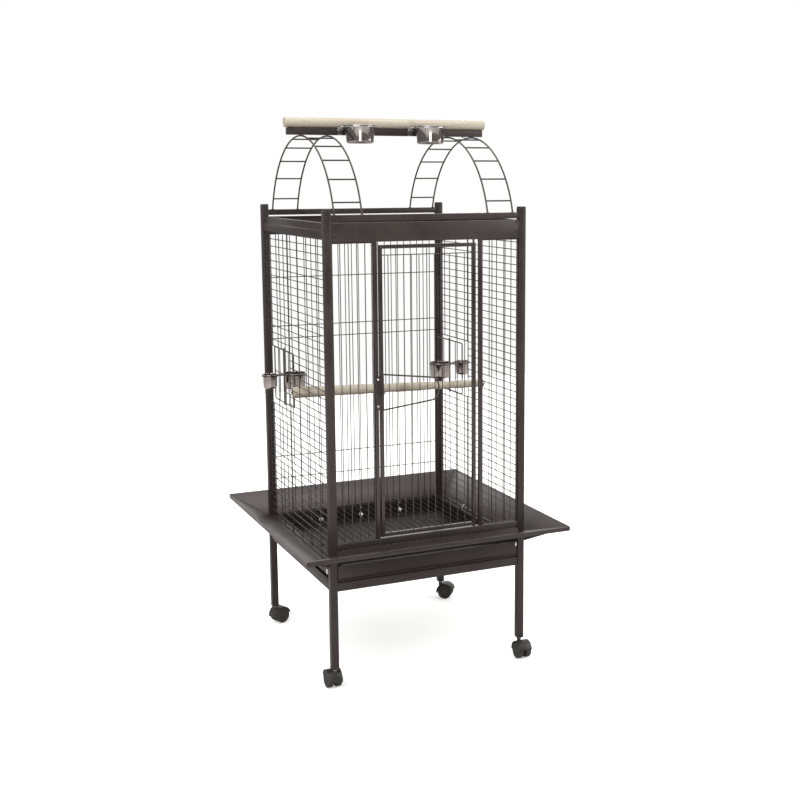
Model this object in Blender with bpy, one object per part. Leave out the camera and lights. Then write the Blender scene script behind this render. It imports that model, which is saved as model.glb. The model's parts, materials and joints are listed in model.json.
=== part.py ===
# Play-top parrot aviary on castors, modelled in metres with +Z up.
# The door is at -Y, and the origin is on the floor under the middle of the cage.

import math

import bpy
import bmesh
from mathutils import Matrix, Vector

# Clearances
FIT_GAP = 0.0003            # between neighbouring pieces that touch in real life
SHEET = 0.0015              # folded sheet steel

# Cage body
CAGE_WIDTH = 0.610          # over the posts, left to right
CAGE_DEPTH = 0.610          # over the posts, front to back
POST_SIZE = 0.0213          # square tube
POST_CHAMFER = 0.0015
POST_TOP = 1.354
POST_BOTTOM = 0.058
CAP_HEIGHT = 0.004
CAP_INSET = 0.0015
RAIL_INSET = 0.0025         # rails stand back from the posts' outer faces
RAIL_DEPTH = 0.0150

# Header bands round the top
HEADER_TOP = 1.316
FRONT_HEADER_HEIGHT = 0.0525
SIDE_HEADER_HEIGHT = 0.0430
SIDE_HEADER_STEP = 0.0030
SIDE_HEADER_STEP_DROP = 0.0190
HEADER_FLANGE = 0.0150

# Play-top rails
TOP_RAIL_SIZE = 0.0170
TOP_RAIL_TOP = 1.3375

# Bottom rails and stand
FRONT_RAIL_TOP = 0.4253
FRONT_RAIL_HEIGHT = 0.0200
LOW_RAIL_TOP = 0.3640       # back and side bottom rails
LOW_RAIL_HEIGHT = 0.0330
STAND_RAIL_TOP = 0.3130
STAND_RAIL_HEIGHT = 0.0250
STAND_LEDGE_INSET = 0.0060  # ledge on the front stand rail that closes the gap under the tray

# Wire grilles
WIRE = 0.0028
EDGE_WIRE = 0.0032
WIRE_LAYER_GAP = 0.0004     # between the two layers of wires, which meet in the panel's edges
UPRIGHT_PITCH = 0.0227      # back panel and fixed front panels
SIDE_PITCH = 0.0222         # level wires of the side panels
SIDE_UPRIGHT_PITCH = 0.0878
BACK_CROSS_HEIGHTS = (0.482, 0.553, 0.933, 0.972, 1.126)
TOP_CROSS_COUNT = 3

# Front door
DOOR_LEFT = -0.1485
DOOR_RIGHT = 0.1465
DOOR_BOTTOM = 0.4290
DOOR_TOP = 1.2546
DOOR_TUBE = 0.0105
DOOR_WIRE_MARGIN = 0.0180
DOOR_WIRE_PITCH = 0.0232
DOOR_WIRE_COUNT = 11
DOOR_GRID_DROP = 0.0280     # top of the door down to its cross wire
DOOR_LONG_WIRES = (1, 5)    # the wires that reach the top tube
DOOR_SIDE_GAP_LEFT = 0.0042
DOOR_SIDE_GAP_RIGHT = 0.0100
HINGE_PIN_RADIUS = 0.0030
HINGE_PIN_REACH = 0.0060

# Latch
LATCH_HEIGHT = 0.844
LATCH_PLATE_HALF_HEIGHT = 0.048
LATCH_PLATE_OVERHANG = 0.0125
LATCH_PLATE_THICKNESS = 0.0020
LATCH_SHAFT_RADIUS = 0.0025
LATCH_KNOB_RADIUS = 0.0062
LATCH_KNOB_TAPER = 0.85
LATCH_KNOB_LENGTH = 0.0065
LATCH_CAM_LENGTH = 0.0260
LATCH_CAM_WIDTH = 0.0075
LATCH_CAM_THICKNESS = 0.0020
LOOP_WIRE_RADIUS = 0.0023
LOOP_HALF_HEIGHT_AT_STILE = 0.0510
LOOP_HALF_HEIGHT_AT_TIP = 0.0330
LOOP_STRAIGHT = 0.1500
LOOP_TIP_BULGE = 0.0240
LOOP_TIP_STEPS = 6

# Feeders in the side panels: pitches counted up from the lowest level wire
FEEDER_FIRST_PITCH = 17
FEEDER_PITCHES = 8
FEEDER_OPENING_FRONT = 0.0680
FEEDER_SIDE_CLEARANCE = 0.0085
FEEDER_EDGE_CLEARANCE = 0.0045
FEEDER_BAR = 0.0040
FEEDER_WIRE_SPACING = 0.0450
FEEDER_PIVOT_RADIUS = 0.0030
FEEDER_STUB_HALF_WIDTH = 0.0110
FEEDER_CUP_RISE = 0.0990     # rim above the bottom of the opening
INSIDE_CUP_OFFSET = 0.0480   # middle of the large cup from the wires
INSIDE_CUP_RADIUS = 0.0340
INSIDE_CUP_HEIGHT = 0.0490
OUTSIDE_CUP_OFFSET = 0.0300
OUTSIDE_CUP_RADIUS = 0.0215
OUTSIDE_CUP_HEIGHT = 0.0440

# Play top
ARCH_FOOT_INSET = 0.0151    # ladder feet from the top rails' outer faces
ARCH_RISE = 0.2900
ARCH_CENTRE = 1.2645
ARCH_WIRE_RADIUS = 0.0025
ARCH_OFFSET = 0.2300        # middle of each ladder from the middle of the cage
LADDER_WIDTH = 0.0800
RUNG_RADIUS = 0.0022
RUNG_SPACING = 0.0705
RUNGS_EACH_SIDE = 5
BEAM_SIZE = 0.0200
BEAM_HALF_LENGTH = 0.3080
TOP_PERCH_RADIUS = 0.0145
TOP_PERCH_HALF_LENGTH = 0.3150
TOP_CUP_SPACING = 0.1100    # each cup from the middle
TOP_CUP_RADIUS = 0.0425
TOP_CUP_HEIGHT = 0.0520
TOP_CUP_RISE = 0.0077       # rim above the top of the beam
TOP_CUP_FORWARD = 0.0660
TOP_BRACKET_OFFSET = 0.0420
TOP_BRACKET_RISE = 0.0030    # plate above the top of the beam
TOP_BRACKET_WIDTH = 0.0140
TOP_ARM_SHARE = 0.62        # where the arm meets the ring, as a share of its radius
TOP_KNOB_RADIUS = 0.0090
TOP_KNOB_LENGTH = 0.0120
TOP_KNOB_TAPER = 0.8

# Cups and the rings that hold them
CUP_WALL = 0.0008
CUP_LIP = 0.0045
CUP_LIP_HEIGHT = 0.0022
CUP_FOOT_RADIUS = 0.0080
CUP_FOOT_SHARE = 0.94       # width of the foot, as a share of the mouth
RING_WIRE_RADIUS = 0.0018

# Perch inside the cage, thicker at its left end
PERCH_HEIGHT = 0.7990
PERCH_LEFT_RADIUS = 0.0170
PERCH_RIGHT_RADIUS = 0.0115
PERCH_FEEDER_CLEARANCE = 0.0025     # left end from the turning feeder
PERCH_RIGHT_Y = -0.0300

# Seed skirt
SKIRT_REACH = 0.1000
SKIRT_EDGE = 0.4185         # top of the outer edge, all round
FRONT_SKIRT_BASE = 0.3920   # inner edge of the front flap, above the tray and the grate
SIDE_SKIRT_BASE = 0.3635    # inner edge of the other three flaps
SKIRT_LIP = 0.0130
SKIRT_HEM = 0.0070
SKIRT_MITRE_GAP = 0.00022
SKIRT_FLANGE_HEIGHT = 0.0135    # turned down over the back and side rails
SKIRT_FLANGE_THICKNESS = 0.0035

# Tray, grate and their runners
RUNNER_BOTTOM = 0.3198
RUNNER_HEIGHT = 0.0457
RUNNER_LOWER_FLANGE = 0.0214
RUNNER_UPPER_FLANGE = 0.0094
TRAY_HALF_WIDTH = 0.2690
TRAY_HEIGHT = 0.0400
TRAY_FASCIA_HALF_WIDTH = 0.2815
TRAY_FASCIA_LIP = 0.0085
TRAY_BACK_CLEARANCE = 0.0080
GRATE_SIDE_CLEARANCE = 0.0015
GRATE_BAR = 0.0060
GRATE_PLATE_HEIGHT = 0.0230
GRATE_CROSS_COUNT = 2

# Castors: twin wheels under a hood, each turned its own way
CASTOR_WHEEL_RADIUS = 0.0240
CASTOR_WHEEL_WIDTH = 0.0165
CASTOR_WEB = 0.0080
CASTOR_TRAIL = 0.0190
CASTOR_HOOD_GAP = 0.0020
CASTOR_HOOD_WALL = 0.0030
CASTOR_HOOD_FRONT = 12      # degrees round the axle, from the trail's side
CASTOR_HOOD_BACK = 188
CASTOR_BOSS_RADIUS = 0.0058
CASTOR_BOSS_DROP = 0.0080
CASTOR_STEM_RADIUS = 0.0040
CASTOR_STEM_REACH = 0.0300
CASTOR_AXLE_RADIUS = 0.0030
CASTOR_RIM_CHAMFER = 0.0025
CASTOR_HEADINGS = {"front_left": 90, "front_right": -90, "back_left": 22, "back_right": -38}

# Round pieces
FINE_SIDES = 20
MEDIUM_SIDES = 16
COARSE_SIDES = 12
PIN_SIDES = 8
WIRE_SIDES = 6
RUNG_SIDES = 5
ARCH_STEPS = 16
HOOD_STEPS = 8

# Values that follow from the sizes above
HALF_WIDTH = CAGE_WIDTH / 2
HALF_DEPTH = CAGE_DEPTH / 2
INNER_X = HALF_WIDTH - POST_SIZE
INNER_Y = HALF_DEPTH - POST_SIZE
BETWEEN_X = INNER_X - FIT_GAP
BETWEEN_Y = INNER_Y - FIT_GAP
RAIL_OUTER_X = HALF_WIDTH - RAIL_INSET
RAIL_OUTER_Y = HALF_DEPTH - RAIL_INSET
FRONT_HEADER_BOTTOM = HEADER_TOP - FRONT_HEADER_HEIGHT
SIDE_HEADER_BOTTOM = HEADER_TOP - SIDE_HEADER_HEIGHT
FRONT_RAIL_BOTTOM = FRONT_RAIL_TOP - FRONT_RAIL_HEIGHT
LOW_RAIL_BOTTOM = LOW_RAIL_TOP - LOW_RAIL_HEIGHT
PANEL_DEPTH = 2 * WIRE + WIRE_LAYER_GAP + 2 * FIT_GAP
SIDE_PLANE = HALF_WIDTH - POST_SIZE / 2
BACK_PLANE = HALF_DEPTH - POST_SIZE / 2
DOOR_PLANE = -RAIL_OUTER_Y + FIT_GAP + DOOR_TUBE / 2
SIDE_LOW = LOW_RAIL_TOP + FIT_GAP
SIDE_HIGH = SIDE_HEADER_BOTTOM - FIT_GAP
SIDE_GAPS = round((SIDE_HIGH - SIDE_LOW) / SIDE_PITCH)
SIDE_STEP = (SIDE_HIGH - SIDE_LOW) / SIDE_GAPS
FEEDER_LOW = SIDE_LOW + FEEDER_FIRST_PITCH * SIDE_STEP
FEEDER_HIGH = FEEDER_LOW + FEEDER_PITCHES * SIDE_STEP
FEEDER_Y = (FEEDER_OPENING_FRONT + INNER_Y) / 2
FEEDER_CUP_RIM = FEEDER_LOW + FEEDER_CUP_RISE
PERCH_LEFT_Y = FEEDER_OPENING_FRONT + FEEDER_SIDE_CLEARANCE - PERCH_FEEDER_CLEARANCE - PERCH_LEFT_RADIUS
ARCH_FOOT_TURN = math.asin((TOP_RAIL_TOP - ARCH_CENTRE) / ARCH_RISE)
ARCH_HALF_SPAN = (RAIL_OUTER_Y - ARCH_FOOT_INSET) / math.cos(ARCH_FOOT_TURN)     # of the whole ellipse
ARCH_TOP = ARCH_CENTRE + ARCH_RISE + ARCH_WIRE_RADIUS
BEAM_BOTTOM = ARCH_TOP + FIT_GAP
BEAM_TOP = BEAM_BOTTOM + BEAM_SIZE
TOP_CUP_RIM = BEAM_TOP + TOP_CUP_RISE
TOP_PERCH_CENTRE = BEAM_TOP + FIT_GAP + TOP_PERCH_RADIUS
TRAY_BOTTOM = RUNNER_BOTTOM + SHEET + FIT_GAP
TRAY_FRONT = -RAIL_OUTER_Y + 2 * FIT_GAP
GRATE_BOTTOM = RUNNER_BOTTOM + RUNNER_HEIGHT + FIT_GAP

materials = {}


def clear_scene():
    for thing in list(bpy.data.objects):
        bpy.data.objects.remove(thing, do_unlink=True)


def finish(name, colour, roughness, metallic):
    material = bpy.data.materials.new(name)
    material.use_nodes = True
    shader = material.node_tree.nodes["Principled BSDF"]
    shader.inputs["Base Color"].default_value = (*colour, 1.0)
    shader.inputs["Roughness"].default_value = roughness
    shader.inputs["Metallic"].default_value = metallic
    materials[name] = material


def make_materials():
    finish("charcoal_coat", (0.040, 0.036, 0.034), 0.45, 0.3)
    finish("polished_steel", (0.72, 0.71, 0.69), 0.12, 1.0)
    finish("pale_wood", (0.62, 0.52, 0.36), 0.65, 0.0)
    finish("black_plastic", (0.020, 0.019, 0.019), 0.50, 0.0)


def make_object(name, bm, material, smooth=False):
    mesh = bpy.data.meshes.new(name)
    bm.to_mesh(mesh)
    bm.free()
    if smooth:
        mesh.shade_smooth()
        mesh.set_sharp_from_angle(angle=math.radians(35))
    own = materials[material].copy()
    own.name = name + "_" + material
    mesh.materials.append(own)
    thing = bpy.data.objects.new(name, mesh)
    bpy.context.scene.collection.objects.link(thing)
    return thing


def join(target, bm, operation="UNION", smooth=False):
    # One exact Boolean of a mesh with an object, kept as the object's own mesh
    mesh = bpy.data.meshes.new("tool")
    bm.to_mesh(mesh)
    bm.free()
    tool = bpy.data.objects.new("tool", mesh)
    bpy.context.scene.collection.objects.link(tool)
    change = target.modifiers.new("change", "BOOLEAN")
    change.operation = operation
    change.solver = "EXACT"
    change.object = tool
    evaluated = target.evaluated_get(bpy.context.evaluated_depsgraph_get())
    result = bpy.data.meshes.new_from_object(evaluated)
    material = target.data.materials[0]
    target.modifiers.clear()
    result.materials.clear()
    result.materials.append(material)
    target.data = result
    bpy.data.objects.remove(tool, do_unlink=True)
    if smooth:
        result.shade_smooth()
        result.set_sharp_from_angle(angle=math.radians(35))
    return target


def add_box(bm, x, y, z):
    size = Vector((x[1] - x[0], y[1] - y[0], z[1] - z[0]))
    middle = Vector(((x[0] + x[1]) / 2, (y[0] + y[1]) / 2, (z[0] + z[1]) / 2))
    bmesh.ops.create_cube(bm, size=1.0, matrix=Matrix.Translation(middle) @ Matrix.Diagonal((*size, 1.0)))


def box(name, x, y, z, material):
    bm = bmesh.new()
    add_box(bm, x, y, z)
    return make_object(name, bm, material)


def add_rod(bm, start, end, radius, sides, end_radius=None):
    start = Vector(start)
    end = Vector(end)
    run = end - start
    turn = run.to_track_quat("Z", "Y").to_matrix().to_4x4()
    bmesh.ops.create_cone(
        bm, cap_ends=True, segments=sides, radius1=radius,
        radius2=radius if end_radius is None else end_radius, depth=run.length,
        matrix=Matrix.Translation((start + end) / 2) @ turn)


def add_ring(bm, centre, radius, wire_radius, sides):
    # A level torus made by spinning a small circle about +Z
    upright = Matrix.Rotation(math.pi / 2, 4, "X")
    circle = bmesh.ops.create_circle(
        bm, segments=RUNG_SIDES, radius=wire_radius,
        matrix=Matrix.Translation((centre[0] + radius, centre[1], centre[2])) @ upright)
    edges = list({edge for vert in circle["verts"] for edge in vert.link_edges})
    bmesh.ops.spin(bm, geom=edges, cent=centre, axis=(0, 0, 1), angle=2 * math.pi, steps=sides,
                   use_merge=True)
    bmesh.ops.recalc_face_normals(bm, faces=bm.faces)


def turned(name, profile, centre, sides, material):
    # A closed profile of (radius, height) points turned about +Z
    bm = bmesh.new()
    verts = [bm.verts.new((centre[0] + radius, centre[1], centre[2] + height)) for radius, height in profile]
    edges = [bm.edges.new(pair) for pair in zip(verts, verts[1:])]
    bmesh.ops.spin(bm, geom=verts + edges, cent=centre, axis=(0, 0, 1), angle=2 * math.pi, steps=sides,
                   use_merge=True)
    bmesh.ops.remove_doubles(bm, verts=bm.verts, dist=0.000001)
    bmesh.ops.recalc_face_normals(bm, faces=bm.faces)
    return make_object(name, bm, material, smooth=True)


def prism(name, outline, to_start, to_end, material):
    # A closed outline carried from one end of a bar to the other
    bm = bmesh.new()
    near = [bm.verts.new(to_start(point)) for point in outline]
    far = [bm.verts.new(to_end(point)) for point in outline]
    count = len(outline)
    bm.faces.new(near)
    bm.faces.new(far)
    for i in range(count):
        bm.faces.new((near[i], near[(i + 1) % count], far[(i + 1) % count], far[i]))
    bmesh.ops.recalc_face_normals(bm, faces=bm.faces)
    return make_object(name, bm, material)


def sheet_outline(path, thickness):
    # The closed outline of a folded sheet whose one side follows the path
    points = [Vector(point) for point in path]
    offset = []
    for i, point in enumerate(points):
        before = (point - points[i - 1]).normalized() if i > 0 else None
        after = (points[i + 1] - point).normalized() if i < len(points) - 1 else None
        first = before or after
        second = after or before
        side_a = Vector((-first.y, first.x))
        side_b = Vector((-second.y, second.x))
        mean = (side_a + side_b).normalized()
        offset.append(point + mean * (thickness / mean.dot(side_a)))
    return points + offset[::-1]


def spread(start, end, pitch):
    # Even positions between two edges, as near to the pitch as they divide
    count = max(2, round((end - start) / pitch))
    step = (end - start) / count
    return [start + step * i for i in range(1, count)]


def grille(name, plane_axis, plane, outward, run, stack, wires, crossings, edge=EDGE_WIRE):
    # A welded panel in one plane. run is the (axis, low, high) along the wires, stack the
    # (axis, low, high) across them. Wires lie in the outer layer, crossings in the inner one.
    run_axis, run_low, run_high = run
    stack_axis, stack_low, stack_high = stack
    outer = plane + outward * (PANEL_DEPTH / 2 - FIT_GAP)
    inner = plane - outward * (PANEL_DEPTH / 2 - FIT_GAP)
    wire_layer = sorted((outer, outer - outward * WIRE))
    cross_layer = sorted((inner, inner + outward * WIRE))
    full = [plane - PANEL_DEPTH / 2, plane + PANEL_DEPTH / 2]
    trim = [full[0] + FIT_GAP / 2, full[1] - FIT_GAP / 2]

    def add(bm, along, across, depth):
        spans = {run_axis: along, stack_axis: across, plane_axis: depth}
        add_box(bm, spans[0], spans[1], spans[2])

    long_bars = bmesh.new()
    add(long_bars, (run_low + edge / 4, run_high - edge / 4), (stack_low, stack_low + edge), full)
    add(long_bars, (run_low + edge / 4, run_high - edge / 4), (stack_high - edge, stack_high), full)
    for place in wires:
        add(long_bars, (run_low + edge / 2, run_high - edge / 2), (place - WIRE / 2, place + WIRE / 2),
            wire_layer)
    short_bars = bmesh.new()
    add(short_bars, (run_low, run_low + edge), (stack_low + edge / 4, stack_high - edge / 4), trim)
    add(short_bars, (run_high - edge, run_high), (stack_low + edge / 4, stack_high - edge / 4), trim)
    for place in crossings:
        add(short_bars, (place - WIRE / 2, place + WIRE / 2), (stack_low + edge / 2, stack_high - edge / 2),
            cross_layer)
    return join(make_object(name, long_bars, "charcoal_coat"), short_bars)


def post(name, side, front):
    x = sorted((side * HALF_WIDTH, side * INNER_X))
    y = sorted((front * HALF_DEPTH, front * INNER_Y))
    bm = bmesh.new()
    add_box(bm, x, y, (POST_BOTTOM, POST_TOP - CAP_HEIGHT))
    upright = [edge for edge in bm.edges if abs(edge.verts[0].co.z - edge.verts[1].co.z) > POST_SIZE]
    bmesh.ops.bevel(bm, geom=upright, offset=POST_CHAMFER, offset_type="OFFSET", segments=1, profile=0.5,
                    affect="EDGES", material=-1)
    top = [face for face in bm.faces if face.normal.z > 0.9]
    bmesh.ops.inset_region(bm, faces=top, thickness=CAP_INSET, depth=0.0)
    raised = bmesh.ops.extrude_face_region(bm, geom=top)
    bmesh.ops.delete(bm, geom=top, context="FACES_ONLY")
    lifted = [part for part in raised["geom"] if isinstance(part, bmesh.types.BMVert)]
    bmesh.ops.translate(bm, verts=lifted, vec=(0, 0, CAP_HEIGHT))
    thing = make_object(name, bm, "charcoal_coat")
    bore = bmesh.new()
    centre = Vector((sum(x) / 2, sum(y) / 2, 0))
    add_rod(bore, centre + Vector((0, 0, POST_BOTTOM - FIT_GAP)),
            centre + Vector((0, 0, POST_BOTTOM + CASTOR_STEM_REACH + FIT_GAP)),
            CASTOR_STEM_RADIUS + 2 * FIT_GAP, PIN_SIDES)
    return join(thing, bore, "DIFFERENCE")


def channel(name, along_x, sign, path):
    # A folded band between two posts; path points are (inward, height)
    reach = BETWEEN_X if along_x else BETWEEN_Y
    outer = RAIL_OUTER_Y if along_x else RAIL_OUTER_X
    outline = sheet_outline(path, -SHEET)
    if along_x:
        return prism(name, outline,
                     lambda p: (-reach, sign * (outer - p[0]), p[1]),
                     lambda p: (reach, sign * (outer - p[0]), p[1]), "charcoal_coat")
    return prism(name, outline,
                 lambda p: (sign * (outer - p[0]), -reach, p[1]),
                 lambda p: (sign * (outer - p[0]), reach, p[1]), "charcoal_coat")


def headers():
    low = FRONT_HEADER_BOTTOM
    plain = [(HEADER_FLANGE, low), (0, low), (0, HEADER_TOP), (HEADER_FLANGE, HEADER_TOP)]
    front = channel("front_header", True, -1, plain)
    channel("back_header", True, 1, plain)
    low = SIDE_HEADER_BOTTOM
    step = HEADER_TOP - SIDE_HEADER_STEP_DROP
    stepped = [(HEADER_FLANGE, low), (0, low), (0, step - SIDE_HEADER_STEP), (SIDE_HEADER_STEP, step),
               (SIDE_HEADER_STEP, HEADER_TOP), (HEADER_FLANGE, HEADER_TOP)]
    channel("left_header", False, -1, stepped)
    channel("right_header", False, 1, stepped)
    hole = bmesh.new()
    pin_x = DOOR_RIGHT - DOOR_TUBE / 2
    add_rod(hole, (pin_x, DOOR_PLANE, FRONT_HEADER_BOTTOM - SHEET),
            (pin_x, DOOR_PLANE, FRONT_HEADER_BOTTOM + 2 * SHEET), HINGE_PIN_RADIUS + FIT_GAP, COARSE_SIDES)
    join(front, hole, "DIFFERENCE")


def rails():
    for name, sign in (("front", -1), ("back", 1)):
        rail_y = sorted((sign * RAIL_OUTER_Y, sign * (RAIL_OUTER_Y - TOP_RAIL_SIZE)))
        box(name + "_top_rail", (-BETWEEN_X, BETWEEN_X), rail_y, (TOP_RAIL_TOP - TOP_RAIL_SIZE, TOP_RAIL_TOP),
            "charcoal_coat")
        rail_y = sorted((sign * RAIL_OUTER_Y, sign * (RAIL_OUTER_Y - RAIL_DEPTH)))
        box(name + "_stand_rail", (-BETWEEN_X, BETWEEN_X), rail_y,
            (STAND_RAIL_TOP - STAND_RAIL_HEIGHT, STAND_RAIL_TOP), "charcoal_coat")
    front_y = (-RAIL_OUTER_Y, -RAIL_OUTER_Y + RAIL_DEPTH)
    ledge = bmesh.new()
    add_box(ledge, (-BETWEEN_X + FIT_GAP / 2, BETWEEN_X - FIT_GAP / 2),
            (front_y[0] + STAND_LEDGE_INSET, front_y[1] - FIT_GAP / 2),
            (STAND_RAIL_TOP - FIT_GAP, RUNNER_BOTTOM - FIT_GAP))
    join(bpy.data.objects["front_stand_rail"], ledge)
    front = box("front_bottom_rail", (-BETWEEN_X, BETWEEN_X), front_y, (FRONT_RAIL_BOTTOM, FRONT_RAIL_TOP),
                "charcoal_coat")
    pin_x = DOOR_RIGHT - DOOR_TUBE / 2
    socket = bmesh.new()
    add_rod(socket, (pin_x, DOOR_PLANE, FRONT_RAIL_TOP - HINGE_PIN_REACH - FIT_GAP),
            (pin_x, DOOR_PLANE, FRONT_RAIL_TOP + FIT_GAP), HINGE_PIN_RADIUS + FIT_GAP, COARSE_SIDES)
    join(front, socket, "DIFFERENCE")
    box("back_bottom_rail", (-BETWEEN_X, BETWEEN_X), (RAIL_OUTER_Y - RAIL_DEPTH, RAIL_OUTER_Y),
        (LOW_RAIL_BOTTOM, LOW_RAIL_TOP), "charcoal_coat")
    for name, sign in (("left", -1), ("right", 1)):
        rail_x = sorted((sign * RAIL_OUTER_X, sign * (RAIL_OUTER_X - RAIL_DEPTH)))
        box(name + "_stand_rail", rail_x, (-BETWEEN_Y, BETWEEN_Y),
            (STAND_RAIL_TOP - STAND_RAIL_HEIGHT, STAND_RAIL_TOP), "charcoal_coat")


def side_uprights(low, high):
    # Upright wires stand on one pitch for the whole side, counted back from the feeder
    first = FEEDER_OPENING_FRONT
    count = int((first + BETWEEN_Y) / SIDE_UPRIGHT_PITCH)
    places = [first + SIDE_UPRIGHT_PITCH * i for i in range(-count, count + 1)]
    margin = 4 * EDGE_WIRE
    return [place for place in places if low + margin < place < high - margin]


def side_levels(low, high):
    places = [SIDE_LOW + SIDE_STEP * i for i in range(1, SIDE_GAPS)]
    margin = SIDE_STEP / 2
    return [place for place in places if low + margin < place < high - margin]


def side_panels():
    front = -BETWEEN_Y
    middle = FEEDER_OPENING_FRONT
    back = BETWEEN_Y
    for name, sign in (("left", -1), ("right", 1)):
        plane = sign * SIDE_PLANE
        grille(name + "_grille_front", 0, plane, sign, (1, front, middle), (2, SIDE_LOW, SIDE_HIGH),
               side_levels(SIDE_LOW, SIDE_HIGH), side_uprights(front, middle))
        grille(name + "_grille_lower", 0, plane, sign, (1, middle + FIT_GAP, back), (2, SIDE_LOW, FEEDER_LOW),
               side_levels(SIDE_LOW, FEEDER_LOW), side_uprights(middle, back))
        grille(name + "_grille_upper", 0, plane, sign, (1, middle + FIT_GAP, back),
               (2, FEEDER_HIGH, SIDE_HIGH), side_levels(FEEDER_HIGH, SIDE_HIGH), side_uprights(middle, back))


def back_panel():
    low = LOW_RAIL_TOP + FIT_GAP
    high = FRONT_HEADER_BOTTOM - FIT_GAP
    grille("back_grille", 1, BACK_PLANE, 1, (2, low, high), (0, -BETWEEN_X, BETWEEN_X),
           spread(-BETWEEN_X, BETWEEN_X, UPRIGHT_PITCH), BACK_CROSS_HEIGHTS)


def front_panels():
    # Each fixed panel is a tube beside the door with a few upright wires
    low = FRONT_RAIL_TOP + FIT_GAP
    high = FRONT_HEADER_BOTTOM - FIT_GAP
    left_tube = (DOOR_LEFT - DOOR_SIDE_GAP_LEFT - DOOR_TUBE, DOOR_LEFT - DOOR_SIDE_GAP_LEFT)
    right_tube = (DOOR_RIGHT + DOOR_SIDE_GAP_RIGHT, DOOR_RIGHT + DOOR_SIDE_GAP_RIGHT + DOOR_TUBE)
    tube_y = (DOOR_PLANE - DOOR_TUBE / 2, DOOR_PLANE + DOOR_TUBE / 2)
    for name, tube, span in (("front_left_panel", left_tube, (-BETWEEN_X, left_tube[0] + EDGE_WIRE)),
                             ("front_right_panel", right_tube, (right_tube[1] - EDGE_WIRE, BETWEEN_X))):
        inner = (span[0], left_tube[0]) if tube is left_tube else (right_tube[1], span[1])
        panel = grille(name, 1, DOOR_PLANE, -1, (2, low, high), (0, span[0], span[1]),
                       spread(inner[0], inner[1], UPRIGHT_PITCH), ())
        upright = bmesh.new()
        add_box(upright, tube, tube_y, (low, high))
        join(panel, upright)


def top_panel():
    low = SIDE_HEADER_BOTTOM + SHEET + FIT_GAP
    half_x = RAIL_OUTER_X - SHEET - SIDE_HEADER_STEP
    grille("top_grille", 2, low + PANEL_DEPTH / 2, 1, (1, -BETWEEN_Y, BETWEEN_Y), (0, -half_x, half_x),
           spread(-half_x, half_x, UPRIGHT_PITCH),
           spread(-BETWEEN_Y, BETWEEN_Y, 2 * BETWEEN_Y / (TOP_CROSS_COUNT + 1)))


def loop_outline():
    # Half of the guard loop, from the stile to its rounded tip, as (along, up)
    points = [(0.0, LOOP_HALF_HEIGHT_AT_STILE)]
    points.append((LOOP_STRAIGHT, LOOP_HALF_HEIGHT_AT_TIP))
    for i in range(1, LOOP_TIP_STEPS):
        turn = math.pi / 2 * i / LOOP_TIP_STEPS
        points.append((LOOP_STRAIGHT + LOOP_TIP_BULGE * math.sin(turn),
                       LOOP_HALF_HEIGHT_AT_TIP * math.cos(turn)))
    points.append((LOOP_STRAIGHT + LOOP_TIP_BULGE, 0.0))
    return points


def tube_along(bm, points, radius, sides):
    # A tube of one section swept along points, with flat ends
    points = [Vector(point) for point in points]
    rings = []
    for i, point in enumerate(points):
        before = points[max(i - 1, 0)]
        after = points[min(i + 1, len(points) - 1)]
        turn = (after - before).to_track_quat("Z", "Y").to_matrix().to_4x4()
        circle = bmesh.ops.create_circle(bm, segments=sides, radius=radius,
                                         matrix=Matrix.Translation(point) @ turn)
        rings.append(circle["verts"])
    for near, far in zip(rings, rings[1:]):
        for i in range(sides):
            bm.faces.new((near[i], near[(i + 1) % sides], far[(i + 1) % sides], far[i]))
    bm.faces.new(rings[0])
    bm.faces.new(rings[-1])
    bmesh.ops.recalc_face_normals(bm, faces=bm.faces)
    return rings


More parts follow.
